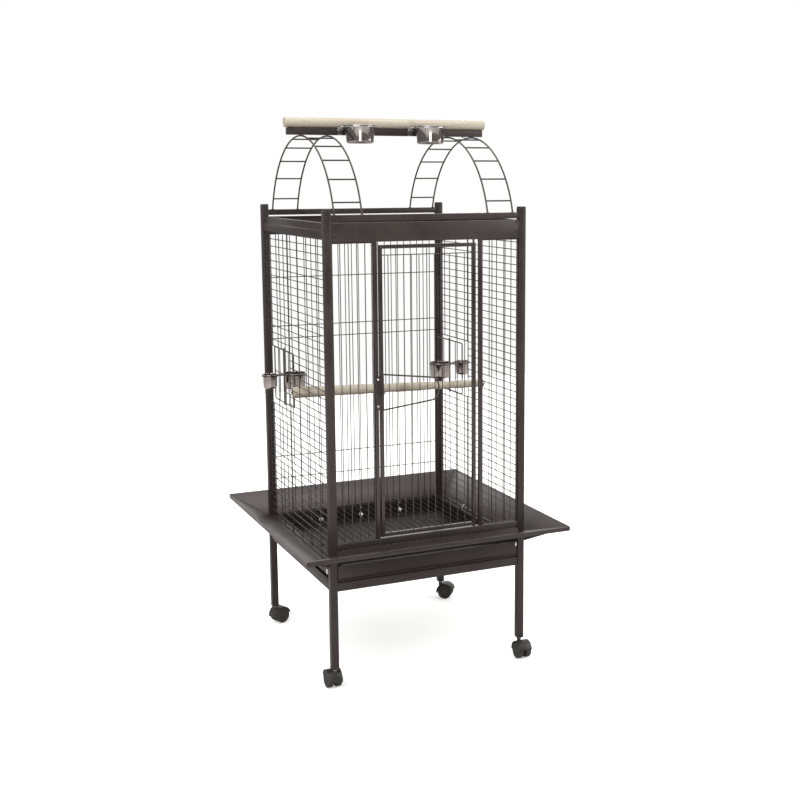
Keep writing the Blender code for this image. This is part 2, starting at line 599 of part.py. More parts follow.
def door():
    tube_y = (DOOR_PLANE - DOOR_TUBE / 2, DOOR_PLANE + DOOR_TUBE / 2)
    wire_y = (DOOR_PLANE - DOOR_TUBE / 4 - WIRE / 2, DOOR_PLANE - DOOR_TUBE / 4 + WIRE / 2)
    left_inner = DOOR_LEFT + DOOR_TUBE
    grid_top = DOOR_TOP - DOOR_GRID_DROP
    level = bmesh.new()
    add_box(level, (DOOR_LEFT, DOOR_RIGHT), tube_y, (DOOR_BOTTOM, DOOR_BOTTOM + DOOR_TUBE))
    add_box(level, (DOOR_LEFT, DOOR_RIGHT), tube_y, (DOOR_TOP - DOOR_TUBE, DOOR_TOP))
    add_box(level, (left_inner - DOOR_TUBE / 2, DOOR_RIGHT - DOOR_TUBE / 2), wire_y,
            (grid_top - WIRE / 2, grid_top + WIRE / 2))
    upright = bmesh.new()
    stile_y = (tube_y[0] + FIT_GAP / 2, tube_y[1] - FIT_GAP / 2)
    stile_z = (DOOR_BOTTOM + DOOR_TUBE / 4, DOOR_TOP - DOOR_TUBE / 4)
    add_box(upright, (DOOR_LEFT + FIT_GAP / 2, left_inner), stile_y, stile_z)
    add_box(upright, (DOOR_RIGHT - DOOR_TUBE, DOOR_RIGHT - FIT_GAP / 2), stile_y, stile_z)
    for i in range(DOOR_WIRE_COUNT):
        x = left_inner + DOOR_WIRE_MARGIN + DOOR_WIRE_PITCH * i
        top = DOOR_TOP - DOOR_TUBE / 2 if i in DOOR_LONG_WIRES else grid_top
        add_box(upright, (x - WIRE / 2, x + WIRE / 2), (wire_y[0] + FIT_GAP / 2, wire_y[1] - FIT_GAP / 2),
                (DOOR_BOTTOM + DOOR_TUBE / 2, top))
    panel = join(make_object("front_door", level, "charcoal_coat"), upright)

    # The guard loop behind the wires
    loop = bmesh.new()
    loop_y = DOOR_PLANE + DOOR_TUBE / 2 - LOOP_WIRE_RADIUS - FIT_GAP
    half = loop_outline()
    path = half + [(along, -up) for along, up in half[-2::-1]]
    start = left_inner - DOOR_TUBE / 4
    tube_along(loop, [(start + along, loop_y, LATCH_HEIGHT + up) for along, up in path],
               LOOP_WIRE_RADIUS, WIRE_SIDES)
    join(panel, loop)

    # Hinge pins above and below the right stile
    pin_x = DOOR_RIGHT - DOOR_TUBE / 2
    pins = bmesh.new()
    add_rod(pins, (pin_x, DOOR_PLANE, DOOR_TOP - DOOR_TUBE / 4),
            (pin_x, DOOR_PLANE, FRONT_HEADER_BOTTOM + HINGE_PIN_REACH), HINGE_PIN_RADIUS, COARSE_SIDES)
    add_rod(pins, (pin_x, DOOR_PLANE, FRONT_RAIL_TOP - HINGE_PIN_REACH),
            (pin_x, DOOR_PLANE, DOOR_BOTTOM + DOOR_TUBE / 4), HINGE_PIN_RADIUS, COARSE_SIDES)
    join(panel, pins)

    # Hole for the latch shaft through the left stile
    shaft_x = DOOR_LEFT + DOOR_TUBE / 2
    hole = bmesh.new()
    add_rod(hole, (shaft_x, DOOR_PLANE - DOOR_TUBE, LATCH_HEIGHT),
            (shaft_x, DOOR_PLANE + DOOR_TUBE, LATCH_HEIGHT), LATCH_SHAFT_RADIUS + FIT_GAP, COARSE_SIDES)
    join(panel, hole, "DIFFERENCE")


def latch():
    shaft_x = DOOR_LEFT + DOOR_TUBE / 2
    plate_back = DOOR_PLANE - DOOR_TUBE / 2 - FIT_GAP
    plate_front = plate_back - LATCH_PLATE_THICKNESS
    plate = box("latch_plate", (DOOR_LEFT - LATCH_PLATE_OVERHANG, DOOR_LEFT + DOOR_TUBE),
                (plate_front, plate_back),
                (LATCH_HEIGHT - LATCH_PLATE_HALF_HEIGHT, LATCH_HEIGHT + LATCH_PLATE_HALF_HEIGHT),
                "charcoal_coat")
    hole = bmesh.new()
    add_rod(hole, (shaft_x, plate_front - FIT_GAP, LATCH_HEIGHT),
            (shaft_x, plate_back + FIT_GAP, LATCH_HEIGHT), LATCH_SHAFT_RADIUS + FIT_GAP, COARSE_SIDES)
    join(plate, hole, "DIFFERENCE")

    # Knob, shaft and cam turn together; the cam points up when the door is free
    knob_back = plate_front - FIT_GAP
    cam_front = DOOR_PLANE + DOOR_TUBE / 2 + FIT_GAP
    knob = bmesh.new()
    add_rod(knob, (shaft_x, knob_back, LATCH_HEIGHT), (shaft_x, knob_back - LATCH_KNOB_LENGTH, LATCH_HEIGHT),
            LATCH_KNOB_RADIUS, MEDIUM_SIDES, LATCH_KNOB_RADIUS * LATCH_KNOB_TAPER)
    turner = make_object("latch_knob", knob, "black_plastic", smooth=True)
    shaft = bmesh.new()
    add_rod(shaft, (shaft_x, knob_back - LATCH_KNOB_LENGTH / 2, LATCH_HEIGHT),
            (shaft_x, cam_front + LATCH_CAM_THICKNESS / 2, LATCH_HEIGHT), LATCH_SHAFT_RADIUS, COARSE_SIDES)
    join(turner, shaft)
    cam = bmesh.new()
    add_box(cam, (shaft_x - LATCH_CAM_WIDTH / 2, shaft_x + LATCH_CAM_WIDTH / 2),
            (cam_front, cam_front + LATCH_CAM_THICKNESS),
            (LATCH_HEIGHT - LATCH_CAM_WIDTH / 2, LATCH_HEIGHT + LATCH_CAM_LENGTH))
    join(turner, cam, smooth=True)


def cup(name, x, y, rim, radius, height, sides):
    bottom = rim - height
    lip = radius + CUP_LIP
    foot = radius * CUP_FOOT_SHARE
    profile = [
        (0.0, 0.0), (foot - CUP_FOOT_RADIUS, 0.0), (foot, CUP_FOOT_RADIUS),
        (radius, height - CUP_LIP_HEIGHT), (lip, height - CUP_LIP_HEIGHT),
        (lip, height), (radius - CUP_WALL, height), (foot - CUP_WALL, CUP_FOOT_RADIUS),
        (foot - CUP_FOOT_RADIUS, CUP_WALL), (0.0, CUP_WALL)]
    return turned(name, profile, (x, y, bottom), sides, "polished_steel")


def ring_radius(cup_radius):
    return cup_radius + FIT_GAP + RING_WIRE_RADIUS


def ring_height(rim):
    return rim - CUP_LIP_HEIGHT - FIT_GAP - RING_WIRE_RADIUS


def feeders():
    low = FEEDER_LOW + FEEDER_EDGE_CLEARANCE
    high = FEEDER_HIGH - FEEDER_EDGE_CLEARANCE
    half = (INNER_Y - FEEDER_OPENING_FRONT) / 2 - FEEDER_SIDE_CLEARANCE
    level = ring_height(FEEDER_CUP_RIM)
    for name, sign in (("left", -1), ("right", 1)):
        x = sign * SIDE_PLANE
        bars = bmesh.new()
        wire_x = (x - FEEDER_BAR / 2, x + FEEDER_BAR / 2)
        thin_x = (x - WIRE / 2, x + WIRE / 2)
        for z in (low, high - FEEDER_BAR):
            add_box(bars, wire_x, (FEEDER_Y - half, FEEDER_Y + half), (z, z + FEEDER_BAR))
        add_box(bars, thin_x, (FEEDER_Y - half + FEEDER_BAR / 2, FEEDER_Y + half - FEEDER_BAR / 2),
                (level - WIRE / 2, level + WIRE / 2))
        frame = make_object(name + "_feeder", bars, "charcoal_coat")
        uprights = bmesh.new()
        for y in (FEEDER_Y - half, FEEDER_Y + half - FEEDER_BAR):
            add_box(uprights, (wire_x[0] + FIT_GAP / 2, wire_x[1] - FIT_GAP / 2),
                    (y + FIT_GAP / 2, y + FEEDER_BAR), (low + FEEDER_BAR / 4, high - FEEDER_BAR / 4))
        for i in (-1, 1):
            y = FEEDER_Y + FEEDER_WIRE_SPACING * i
            add_box(uprights, (thin_x[0] + FIT_GAP / 2, thin_x[1] - FIT_GAP / 2),
                    (y - WIRE / 2, y + WIRE / 2), (low + FEEDER_BAR / 2, high - FEEDER_BAR / 2))
        add_rod(uprights, (x, FEEDER_Y, FEEDER_LOW + FIT_GAP),
                (x, FEEDER_Y, FEEDER_HIGH - FIT_GAP), FEEDER_PIVOT_RADIUS, PIN_SIDES)
        join(frame, uprights)
        # A ring on each side of the wires, held by flat stubs
        rings = bmesh.new()
        stub_x = []
        for side, offset, cup_radius in ((-sign, INSIDE_CUP_OFFSET, INSIDE_CUP_RADIUS),
                                         (sign, OUTSIDE_CUP_OFFSET, OUTSIDE_CUP_RADIUS)):
            radius = ring_radius(cup_radius)
            add_ring(rings, (x + side * offset, FEEDER_Y, level), radius, RING_WIRE_RADIUS, MEDIUM_SIDES)
            stub_x.append(x + side * (offset - radius + RING_WIRE_RADIUS / 2))
        join(frame, rings)
        stubs = bmesh.new()
        add_box(stubs, sorted(stub_x), (FEEDER_Y - FEEDER_STUB_HALF_WIDTH, FEEDER_Y + FEEDER_STUB_HALF_WIDTH),
                (level - RING_WIRE_RADIUS / 2, level + RING_WIRE_RADIUS / 2))
        join(frame, stubs)
        cup(name + "_cup_inside", x - sign * INSIDE_CUP_OFFSET, FEEDER_Y, FEEDER_CUP_RIM, INSIDE_CUP_RADIUS,
            INSIDE_CUP_HEIGHT, MEDIUM_SIDES)
        cup(name + "_cup_outside", x + sign * OUTSIDE_CUP_OFFSET, FEEDER_Y, FEEDER_CUP_RIM,
            OUTSIDE_CUP_RADIUS, OUTSIDE_CUP_HEIGHT, MEDIUM_SIDES)


def arch_point(turn):
    return Vector((0, ARCH_HALF_SPAN * math.sin(turn), ARCH_CENTRE + ARCH_RISE * math.cos(turn)))


def arch_limit():
    # The turn from the top at which the arch meets the top of the rail
    foot = TOP_RAIL_TOP + FIT_GAP
    return math.acos((foot - ARCH_CENTRE) / ARCH_RISE)


def arch_turn_at(distance):
    # The turn whose arc length from the top is the distance, by short steps
    step = 0.001
    turn = 0.0
    walked = 0.0
    while walked < distance:
        walked += (arch_point(turn + step) - arch_point(turn)).length
        turn += step
    return turn


def ladders():
    limit = arch_limit()
    turns = [-limit + 2 * limit * i / ARCH_STEPS for i in range(ARCH_STEPS + 1)]
    for name, sign in (("left_ladder", -1), ("right_ladder", 1)):
        wires = bmesh.new()
        for side in (-1, 1):
            x = sign * ARCH_OFFSET + side * LADDER_WIDTH / 2
            path = [arch_point(turn) + Vector((x, 0, 0)) for turn in turns]
            rings = tube_along(wires, path, ARCH_WIRE_RADIUS, WIRE_SIDES)
            for ring, run in ((rings[0], path[1] - path[0]), (rings[-1], path[-2] - path[-1])):
                for vert in ring:
                    vert.co += run * ((path[0].z - vert.co.z) / run.z)
        rungs = bmesh.new()
        for i in range(1, RUNGS_EACH_SIDE + 1):
            for side in (-1, 1):
                place = arch_point(side * arch_turn_at(RUNG_SPACING * i))
                start = place + Vector((sign * ARCH_OFFSET - LADDER_WIDTH / 2, 0, 0))
                add_rod(rungs, start, start + Vector((LADDER_WIDTH, 0, 0)), RUNG_RADIUS, RUNG_SIDES)
        join(make_object(name, wires, "charcoal_coat"), rungs, smooth=True)


def play_top():
    ladders()
    box("perch_beam", (-BEAM_HALF_LENGTH, BEAM_HALF_LENGTH), (-BEAM_SIZE / 2, BEAM_SIZE / 2),
        (BEAM_BOTTOM, BEAM_TOP), "charcoal_coat")
    dowel = bmesh.new()
    add_rod(dowel, (-TOP_PERCH_HALF_LENGTH, 0, TOP_PERCH_CENTRE),
            (TOP_PERCH_HALF_LENGTH, 0, TOP_PERCH_CENTRE), TOP_PERCH_RADIUS, FINE_SIDES)
    make_object("top_perch", dowel, "pale_wood", smooth=True)
    for name, sign in (("left", -1), ("right", 1)):
        x = sign * TOP_CUP_SPACING
        y = -TOP_CUP_FORWARD
        cup(name + "_top_cup", x, y, TOP_CUP_RIM, TOP_CUP_RADIUS, TOP_CUP_HEIGHT, FINE_SIDES)
        level = ring_height(TOP_CUP_RIM)
        ring = bmesh.new()
        radius = ring_radius(TOP_CUP_RADIUS)
        add_ring(ring, (x, y, level), radius, RING_WIRE_RADIUS, FINE_SIDES)
        holder = make_object(name + "_top_cup_holder", ring, "polished_steel", smooth=True)
        # Bracket plate on the beam's front, with an arm that runs out to the ring
        plate_x = x - TOP_BRACKET_OFFSET
        plate_back = -BEAM_SIZE / 2 - FIT_GAP
        bracket = bmesh.new()
        add_box(bracket, (plate_x - TOP_BRACKET_WIDTH / 2, plate_x + TOP_BRACKET_WIDTH / 2),
                (plate_back - 2 * SHEET, plate_back), (BEAM_BOTTOM + SHEET, BEAM_TOP + TOP_BRACKET_RISE))
        join(holder, bracket)
        arm = bmesh.new()
        side = radius * TOP_ARM_SHARE
        add_box(arm, (plate_x, x - side + 2 * RING_WIRE_RADIUS),
                (plate_back - 3 * SHEET, plate_back - SHEET),
                (level - 1.5 * RING_WIRE_RADIUS, level + 0.7 * RING_WIRE_RADIUS))
        join(holder, arm)
        arm = bmesh.new()
        add_rod(arm, (x - side, plate_back - 2 * SHEET, level),
                (x - side, y + math.sqrt(radius ** 2 - side ** 2), level),
                RING_WIRE_RADIUS - FIT_GAP / 2, WIRE_SIDES)
        join(holder, arm)
        knob = bmesh.new()
        add_rod(knob, (plate_x, plate_back - SHEET, BEAM_BOTTOM + BEAM_SIZE / 2),
                (plate_x, plate_back - SHEET - TOP_KNOB_LENGTH, BEAM_BOTTOM + BEAM_SIZE / 2),
                TOP_KNOB_RADIUS, COARSE_SIDES, TOP_KNOB_RADIUS * TOP_KNOB_TAPER)
        join(holder, knob, smooth=True)


def inside_perch():
    end = SIDE_PLANE - PANEL_DEPTH / 2 - FIT_GAP
    rod = bmesh.new()
    add_rod(rod, (-end, PERCH_LEFT_Y, PERCH_HEIGHT), (end, PERCH_RIGHT_Y, PERCH_HEIGHT),
            PERCH_LEFT_RADIUS, FINE_SIDES, PERCH_RIGHT_RADIUS)
    for vert in rod.verts:
        vert.co.x = math.copysign(end, vert.co.x)
    make_object("inside_perch", rod, "pale_wood", smooth=True)


def skirt():
    start = 2 * FIT_GAP
    tip = SKIRT_REACH
    for name, along_x, sign, base in (("front_skirt", True, -1, FRONT_SKIRT_BASE),
                                      ("back_skirt", True, 1, SIDE_SKIRT_BASE),
                                      ("left_skirt", False, -1, SIDE_SKIRT_BASE),
                                      ("right_skirt", False, 1, SIDE_SKIRT_BASE)):
        outline = sheet_outline([(start, base), (tip, SKIRT_EDGE), (tip, SKIRT_EDGE - SKIRT_LIP),
                                 (tip - SKIRT_HEM, SKIRT_EDGE - SKIRT_LIP)], -SHEET)
        run = HALF_WIDTH if along_x else HALF_DEPTH
        out = HALF_DEPTH if along_x else HALF_WIDTH

        def corner(point, end):
            along = end * (run + point[0] - SKIRT_MITRE_GAP)
            away = sign * (out + point[0])
            return (along, away, point[1]) if along_x else (away, along, point[1])

        flap = prism(name, outline, lambda p: corner(p, -1), lambda p: corner(p, 1), "charcoal_coat")
        between = BETWEEN_X if along_x else BETWEEN_Y
        seat = (RAIL_OUTER_Y if along_x else RAIL_OUTER_X) + FIT_GAP
        depth = sorted((sign * seat, sign * (seat + SKIRT_FLANGE_THICKNESS)))
        if name == "front_skirt":
            flange_z = (base - SHEET + FIT_GAP / 2, FRONT_RAIL_BOTTOM - FIT_GAP)
        else:
            flange_z = (base - SKIRT_FLANGE_HEIGHT, base - FIT_GAP / 2)
        flange = bmesh.new()
        if along_x:
            add_box(flange, (-between, between), depth, flange_z)
        else:
            add_box(flange, depth, (-between, between), flange_z)
        join(flap, flange)


def side_bottom_rails():
    # Each one is the bottom rail with the folded runner that carries the tray and the grate
    top = RUNNER_BOTTOM + RUNNER_HEIGHT
    path = [(RUNNER_LOWER_FLANGE, RUNNER_BOTTOM), (0, RUNNER_BOTTOM), (0, top), (RUNNER_UPPER_FLANGE, top)]
    outline = sheet_outline(path, -SHEET)
    outer = BETWEEN_X
    front = -HALF_DEPTH + 3 * SHEET
    back = RAIL_OUTER_Y - RAIL_DEPTH - FIT_GAP
    for name, sign in (("left", -1), ("right", 1)):
        rail = prism(name + "_bottom_rail", outline, lambda p: (sign * (outer - p[0]), front, p[1]),
                     lambda p: (sign * (outer - p[0]), back, p[1]), "charcoal_coat")
        bar = bmesh.new()
        add_box(bar, sorted((sign * RAIL_OUTER_X, sign * (outer - SHEET / 2))), (-BETWEEN_Y, BETWEEN_Y),
                (LOW_RAIL_BOTTOM, LOW_RAIL_TOP))
        join(rail, bar)


def tray():
    back = RAIL_OUTER_Y - RAIL_DEPTH - TRAY_BACK_CLEARANCE
    bm = bmesh.new()
    add_box(bm, (-TRAY_HALF_WIDTH, TRAY_HALF_WIDTH), (TRAY_FRONT, back),
            (TRAY_BOTTOM, TRAY_BOTTOM + TRAY_HEIGHT))
    top = [face for face in bm.faces if face.normal.z > 0.9]
    bmesh.ops.inset_region(bm, faces=top, thickness=SHEET, depth=0.0)
    pushed = bmesh.ops.extrude_face_region(bm, geom=top)
    bmesh.ops.delete(bm, geom=top, context="FACES_ONLY")
    floor = [part for part in pushed["geom"] if isinstance(part, bmesh.types.BMVert)]
    bmesh.ops.translate(bm, verts=floor, vec=(0, 0, SHEET - TRAY_HEIGHT))
    thing = make_object("tray", bm, "charcoal_coat")
    lip = [(TRAY_FASCIA_LIP, TRAY_BOTTOM), (0, TRAY_BOTTOM), (0, TRAY_BOTTOM + TRAY_HEIGHT)]
    outline = sheet_outline(lip, -SHEET)
    face = TRAY_FRONT + SHEET / 2
    fascia = prism("tray_fascia", outline, lambda p: (-TRAY_FASCIA_HALF_WIDTH, face - p[0], p[1]),
                   lambda p: (TRAY_FASCIA_HALF_WIDTH, face - p[0], p[1]), "charcoal_coat")
    plate = bmesh.new()
    plate.from_mesh(fascia.data)
    bpy.data.objects.remove(fascia, do_unlink=True)
    join(thing, plate)


def grate():
    half_x = BETWEEN_X - SHEET - GRATE_SIDE_CLEARANCE
    front = TRAY_FRONT
    back = RAIL_OUTER_Y - RAIL_DEPTH - TRAY_BACK_CLEARANCE
    thing = grille("floor_grate", 2, GRATE_BOTTOM + PANEL_DEPTH / 2, 1, (1, front, back),
                   (0, -half_x, half_x), spread(-half_x, half_x, UPRIGHT_PITCH),
                   spread(front, back, (back - front) / (GRATE_CROSS_COUNT + 1)), edge=GRATE_BAR)
    plate = bmesh.new()
    add_box(plate, (-half_x, half_x), (front - SHEET, front + SHEET / 2),
            (GRATE_BOTTOM, GRATE_BOTTOM + GRATE_PLATE_HEIGHT))
    join(thing, plate)


def castor_hood(name, stem, turn, inner, half):
    # An arc over both wheels, as (along the trail, up) round the axle
    outer = inner + CASTOR_HOOD_WALL
    middle = (inner + outer) / 2
    sweep = CASTOR_HOOD_BACK - CASTOR_HOOD_FRONT
    turns = [CASTOR_HOOD_FRONT + sweep * i / HOOD_STEPS for i in range(HOOD_STEPS + 1)]
    rays = [(math.cos(math.radians(angle)), math.sin(math.radians(angle))) for angle in turns]

    def carried(width):
        return (lambda p: turn @ Vector((p[0], -width, p[1]))), (lambda p: turn @ Vector((p[0], width, p[1])))

    shell = [(outer * across, outer * up) for across, up in rays]
    shell += [(inner * across, inner * up) for across, up in rays[::-1]]
    cover = prism(name, shell, *carried(half), "black_plastic")

    # The web between the wheels carries the axle
    skirt_drop = -CASTOR_AXLE_RADIUS - CASTOR_HOOD_WALL
    web = [(middle * across, middle * up) for across, up in rays]
    web += [(-middle / 3, skirt_drop), (middle / 3, skirt_drop)]
    plate = prism(name + "_web", web, *carried(CASTOR_WEB / 2), "black_plastic")
    solid = bmesh.new()
    solid.from_mesh(plate.data)
    bpy.data.objects.remove(plate, do_unlink=True)
    join(cover, solid)

    # The boss for the stem follows the hood where it stands on it
    boss = bmesh.new()
    add_rod(boss, stem + Vector((0, 0, CASTOR_WHEEL_RADIUS + CASTOR_BOSS_DROP)),
            stem + Vector((0, 0, POST_BOTTOM - FIT_GAP)), CASTOR_BOSS_RADIUS, COARSE_SIDES)
    collar = make_object(name + "_boss", boss, "black_plastic")
    room = bmesh.new()
    add_rod(room, turn @ Vector((0, -half, 0)), turn @ Vector((0, half, 0)), middle, 2 * HOOD_STEPS)
    join(collar, room, "DIFFERENCE")
    solid = bmesh.new()
    solid.from_mesh(collar.data)
    bpy.data.objects.remove(collar, do_unlink=True)
    join(cover, solid)
    pin = bmesh.new()
    add_rod(pin, stem + Vector((0, 0, POST_BOTTOM - CASTOR_HOOD_WALL)),
            stem + Vector((0, 0, POST_BOTTOM + CASTOR_STEM_REACH)), CASTOR_STEM_RADIUS, PIN_SIDES)
    join(cover, pin)
    bore = bmesh.new()
    add_rod(bore, turn @ Vector((0, -CASTOR_WEB, 0)), turn @ Vector((0, CASTOR_WEB, 0)),
            CASTOR_AXLE_RADIUS + FIT_GAP, PIN_SIDES)
    join(cover, bore, "DIFFERENCE", smooth=True)


def castor_wheels(name, turn, half):
    # Both wheels are one turned shape with their axle
    near = CASTOR_WEB / 2 + FIT_GAP
    rim = CASTOR_WHEEL_RADIUS
    profile = [(0.0, -half), (rim - 2 * CASTOR_RIM_CHAMFER, -half), (rim, -half + CASTOR_RIM_CHAMFER),
               (rim, -near), (CASTOR_AXLE_RADIUS, -near)]
    profile += [(radius, -along) for radius, along in profile[::-1]]
    wheel = bmesh.new()
    verts = [wheel.verts.new((0.0, along, radius)) for radius, along in profile]
    edges = [wheel.edges.new(pair) for pair in zip(verts, verts[1:])]
    bmesh.ops.spin(wheel, geom=verts + edges, cent=(0, 0, 0), axis=(0, 1, 0), angle=2 * math.pi,
                   steps=MEDIUM_SIDES, use_merge=True)
    bmesh.ops.remove_doubles(wheel, verts=wheel.verts, dist=0.000001)
    wheel.transform(turn)
    bmesh.ops.recalc_face_normals(wheel, faces=wheel.faces)
    make_object(name, wheel, "black_plastic", smooth=True)


def castor(name, x, y, heading):
    # The trail points from the stem to the axle; the axle is level and square to it
    trail = Vector((math.cos(heading), math.sin(heading), 0))
    axle = Vector((-math.sin(heading), math.cos(heading), 0))
    stem = Vector((x, y, 0))
    hub = stem + trail * CASTOR_TRAIL + Vector((0, 0, CASTOR_WHEEL_RADIUS))
    turn = Matrix.Translation(hub) @ Matrix((
        (trail.x, axle.x, 0, 0), (trail.y, axle.y, 0, 0), (0, 0, 1, 0), (0, 0, 0, 1)))
    half = CASTOR_WEB / 2 + FIT_GAP + CASTOR_WHEEL_WIDTH
    castor_hood(name + "_hood", stem, turn, CASTOR_WHEEL_RADIUS + CASTOR_HOOD_GAP, half)
    castor_wheels(name + "_wheels", turn, half)


def main():
    clear_scene()
    make_materials()
    for depth_name, front in (("front", -1), ("back", 1)):
        for side_name, side in (("left", -1), ("right", 1)):
            corner = depth_name + "_" + side_name
            post(corner + "_post", side, front)
            castor(corner + "_castor", side * (HALF_WIDTH - POST_SIZE / 2),
                   front * (HALF_DEPTH - POST_SIZE / 2), math.radians(CASTOR_HEADINGS[corner]))
    headers()
    rails()
    side_panels()
    back_panel()
    front_panels()
    top_panel()
    door()
    latch()
    feeders()
    play_top()
    inside_perch()
    skirt()
    side_bottom_rails()
    tray()
    grate()


main()
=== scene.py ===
import json
import math

import bmesh
import bpy
from mathutils import Matrix, Vector


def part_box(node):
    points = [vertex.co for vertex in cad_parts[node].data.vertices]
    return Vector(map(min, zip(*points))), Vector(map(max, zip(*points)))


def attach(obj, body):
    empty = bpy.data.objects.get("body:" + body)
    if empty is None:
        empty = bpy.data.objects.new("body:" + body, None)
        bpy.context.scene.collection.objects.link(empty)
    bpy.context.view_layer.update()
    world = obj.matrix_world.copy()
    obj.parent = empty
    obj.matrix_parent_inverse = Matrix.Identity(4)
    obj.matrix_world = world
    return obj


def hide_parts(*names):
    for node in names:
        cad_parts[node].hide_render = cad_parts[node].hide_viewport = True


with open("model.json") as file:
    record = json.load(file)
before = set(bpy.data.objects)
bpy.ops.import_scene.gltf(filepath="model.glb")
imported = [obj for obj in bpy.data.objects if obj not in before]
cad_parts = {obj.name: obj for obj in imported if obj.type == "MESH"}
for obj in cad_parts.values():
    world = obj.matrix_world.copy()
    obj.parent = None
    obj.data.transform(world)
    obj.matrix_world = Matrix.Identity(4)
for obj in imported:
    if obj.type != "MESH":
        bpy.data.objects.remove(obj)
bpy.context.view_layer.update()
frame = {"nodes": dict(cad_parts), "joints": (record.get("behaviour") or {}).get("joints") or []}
scene = bpy.context.scene
print("frame loaded,", len(frame["nodes"]), "solids")

walls = ("front", "back", "left", "right")
corners = ("front_left", "front_right", "back_left", "back_right")
sides = {"left": -1, "right": 1}


# Small tools

roundSteps = {"wire": 8, "rod": 10, "pin": 16, "screw": 20, "washer": 24, "knob": 28, "disc": 32, "dowel": 40}
edgeLook = {"smooth": 38, "sharp": 30, "flat": 1, "merge": 0.000002, "cadMerge": 0.00002}  # degrees, metres


def xyz(x, y, z):
    return Vector((x, y, z))


def middle(node):
    low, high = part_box(node)
    return (low + high) / 2


def finishPiece(bm, name, material, body, replaced=()):
    # Turns a bmesh into a shaded piece that rides on a body
    mesh = bpy.data.meshes.new(name)
    bm.to_mesh(mesh)
    bm.free()
    mesh.shade_smooth()
    mesh.set_sharp_from_angle(angle=math.radians(edgeLook["smooth"]))
    mesh.materials.append(material)
    piece = bpy.data.objects.new(name, mesh)
    scene.collection.objects.link(piece)
    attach(piece, body)
    if replaced:
        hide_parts(*replaced)


def facing(place, normal):
    # A matrix that stands a turned shape on a face
    return Matrix.Translation(place) @ Vector(normal).to_track_quat("Z", "Y").to_matrix().to_4x4()


def addBar(bm, start, end, radius, steps="rod", endRadius=None):
    start, end = Vector(start), Vector(end)
    bmesh.ops.create_cone(bm, cap_ends=True, segments=roundSteps[steps], radius1=radius,
                          radius2=radius if endRadius is None else endRadius, depth=(end - start).length,
                          matrix=facing((start + end) / 2, end - start))


def softEdges(bm, verts, width, segments=2):
    # Rounds the sharp edges among these vertices
    own = set(verts)
    sharp = [edge for edge in {edge for vert in own for edge in vert.link_edges}
             if edge.verts[0] in own and edge.verts[1] in own and len(edge.link_faces) == 2
             and edge.calc_face_angle() > math.radians(edgeLook["sharp"])]
    bmesh.ops.bevel(bm, geom=sharp, offset=width, offset_type="OFFSET", segments=segments, profile=0.5,
                    affect="EDGES", clamp_overlap=True, material=-1)


def addBlock(bm, low, high, width=0.0, segments=2, turn=None):
    low, high = Vector(low), Vector(high)
    place = Matrix.Translation((low + high) / 2)
    if turn is not None:
        place = place @ turn
    made = bmesh.ops.create_cube(bm, size=1.0, matrix=place @ Matrix.Diagonal((*(high - low), 1.0)))
    if width > 0:
        softEdges(bm, made["verts"], width, segments)


def addCopy(bm, work):
    mesh = bpy.data.meshes.new("copy")
    work.to_mesh(mesh)
    work.free()
    bm.from_mesh(mesh)
    bpy.data.meshes.remove(mesh)


def addTurned(bm, profile, place, steps):
    # Spins a profile of (radius, height) about +Z and then puts it in its place
    work = bmesh.new()
    verts = [work.verts.new((radius, 0, height)) for radius, height in profile]
    edges = [work.edges.new(pair) for pair in zip(verts, verts[1:])]
    bmesh.ops.spin(work, geom=verts + edges, cent=(0, 0, 0), axis=(0, 0, 1), angle=2 * math.pi, steps=steps,
                   use_merge=True)
    bmesh.ops.remove_doubles(work, verts=work.verts, dist=edgeLook["merge"])
    work.transform(place)
    bmesh.ops.recalc_face_normals(work, faces=work.faces)
    addCopy(bm, work)


def scaled(profile, across, up):
    return [(across * wide, up * high) for wide, high in profile]


def disc(radius, height):
    return [(0.0, 0.0), (radius, 0.0), (radius, height), (0.0, height)]


def arc(across, up, radius, start, end, steps):
    # Points of an arc, in degrees from straight down towards the outside
    turns = [math.radians(start + (end - start) * i / steps) for i in range(steps + 1)]
    return [(across + radius * math.sin(turn), up - radius * math.cos(turn)) for turn in turns]


def addWire(bm, points, radius, closed=False):
    # A round wire bent along points, made by a curve with a bevel
    curve = bpy.data.curves.new("wire", "CURVE")
    curve.dimensions = "3D"
    curve.bevel_depth = radius
    curve.bevel_resolution = 3
    curve.use_fill_caps = True
    spline = curve.splines.new("POLY")
    spline.points.add(len(points) - 1)
    for spot, place in zip(spline.points, points):
        spot.co = (*place, 1.0)
    spline.use_cyclic_u = closed
    holder = bpy.data.objects.new("wire", curve)
    scene.collection.objects.link(holder)
    bpy.context.view_layer.update()
    mesh = bpy.data.meshes.new_from_object(holder.evaluated_get(bpy.context.evaluated_depsgraph_get()))
    bm.from_mesh(mesh)
    bpy.data.objects.remove(holder, do_unlink=True)
    bpy.data.curves.remove(curve)
    bpy.data.meshes.remove(mesh)


# Shares of the head's radius; the washer's height is a share of the hex head's height
screwLook = {"dome": ((0.0, 0.52), (0.35, 0.50), (0.70, 0.38), (0.93, 0.18), (1.0, 0.0), (0.0, 0.0)),
             "recess": (0.55, 0.11, 0.47, 0.56), "hexEdge": 0.12, "washer": (1.45, 0.18)}


def addScrew(bm, place, normal, radius):
    # Domed head with a cross recess
    head = bmesh.new()
    addTurned(head, scaled(screwLook["dome"], radius, radius), Matrix.Identity(4), roundSteps["screw"])
    long, wide, bottom, top = (radius * share for share in screwLook["recess"])
    for turn in (0, math.pi / 2):
        addBlock(head, (-long, -wide, bottom), (long, wide, top), turn=Matrix.Rotation(turn, 4, "Z"))
    head.transform(facing(place, normal))
    addCopy(bm, head)


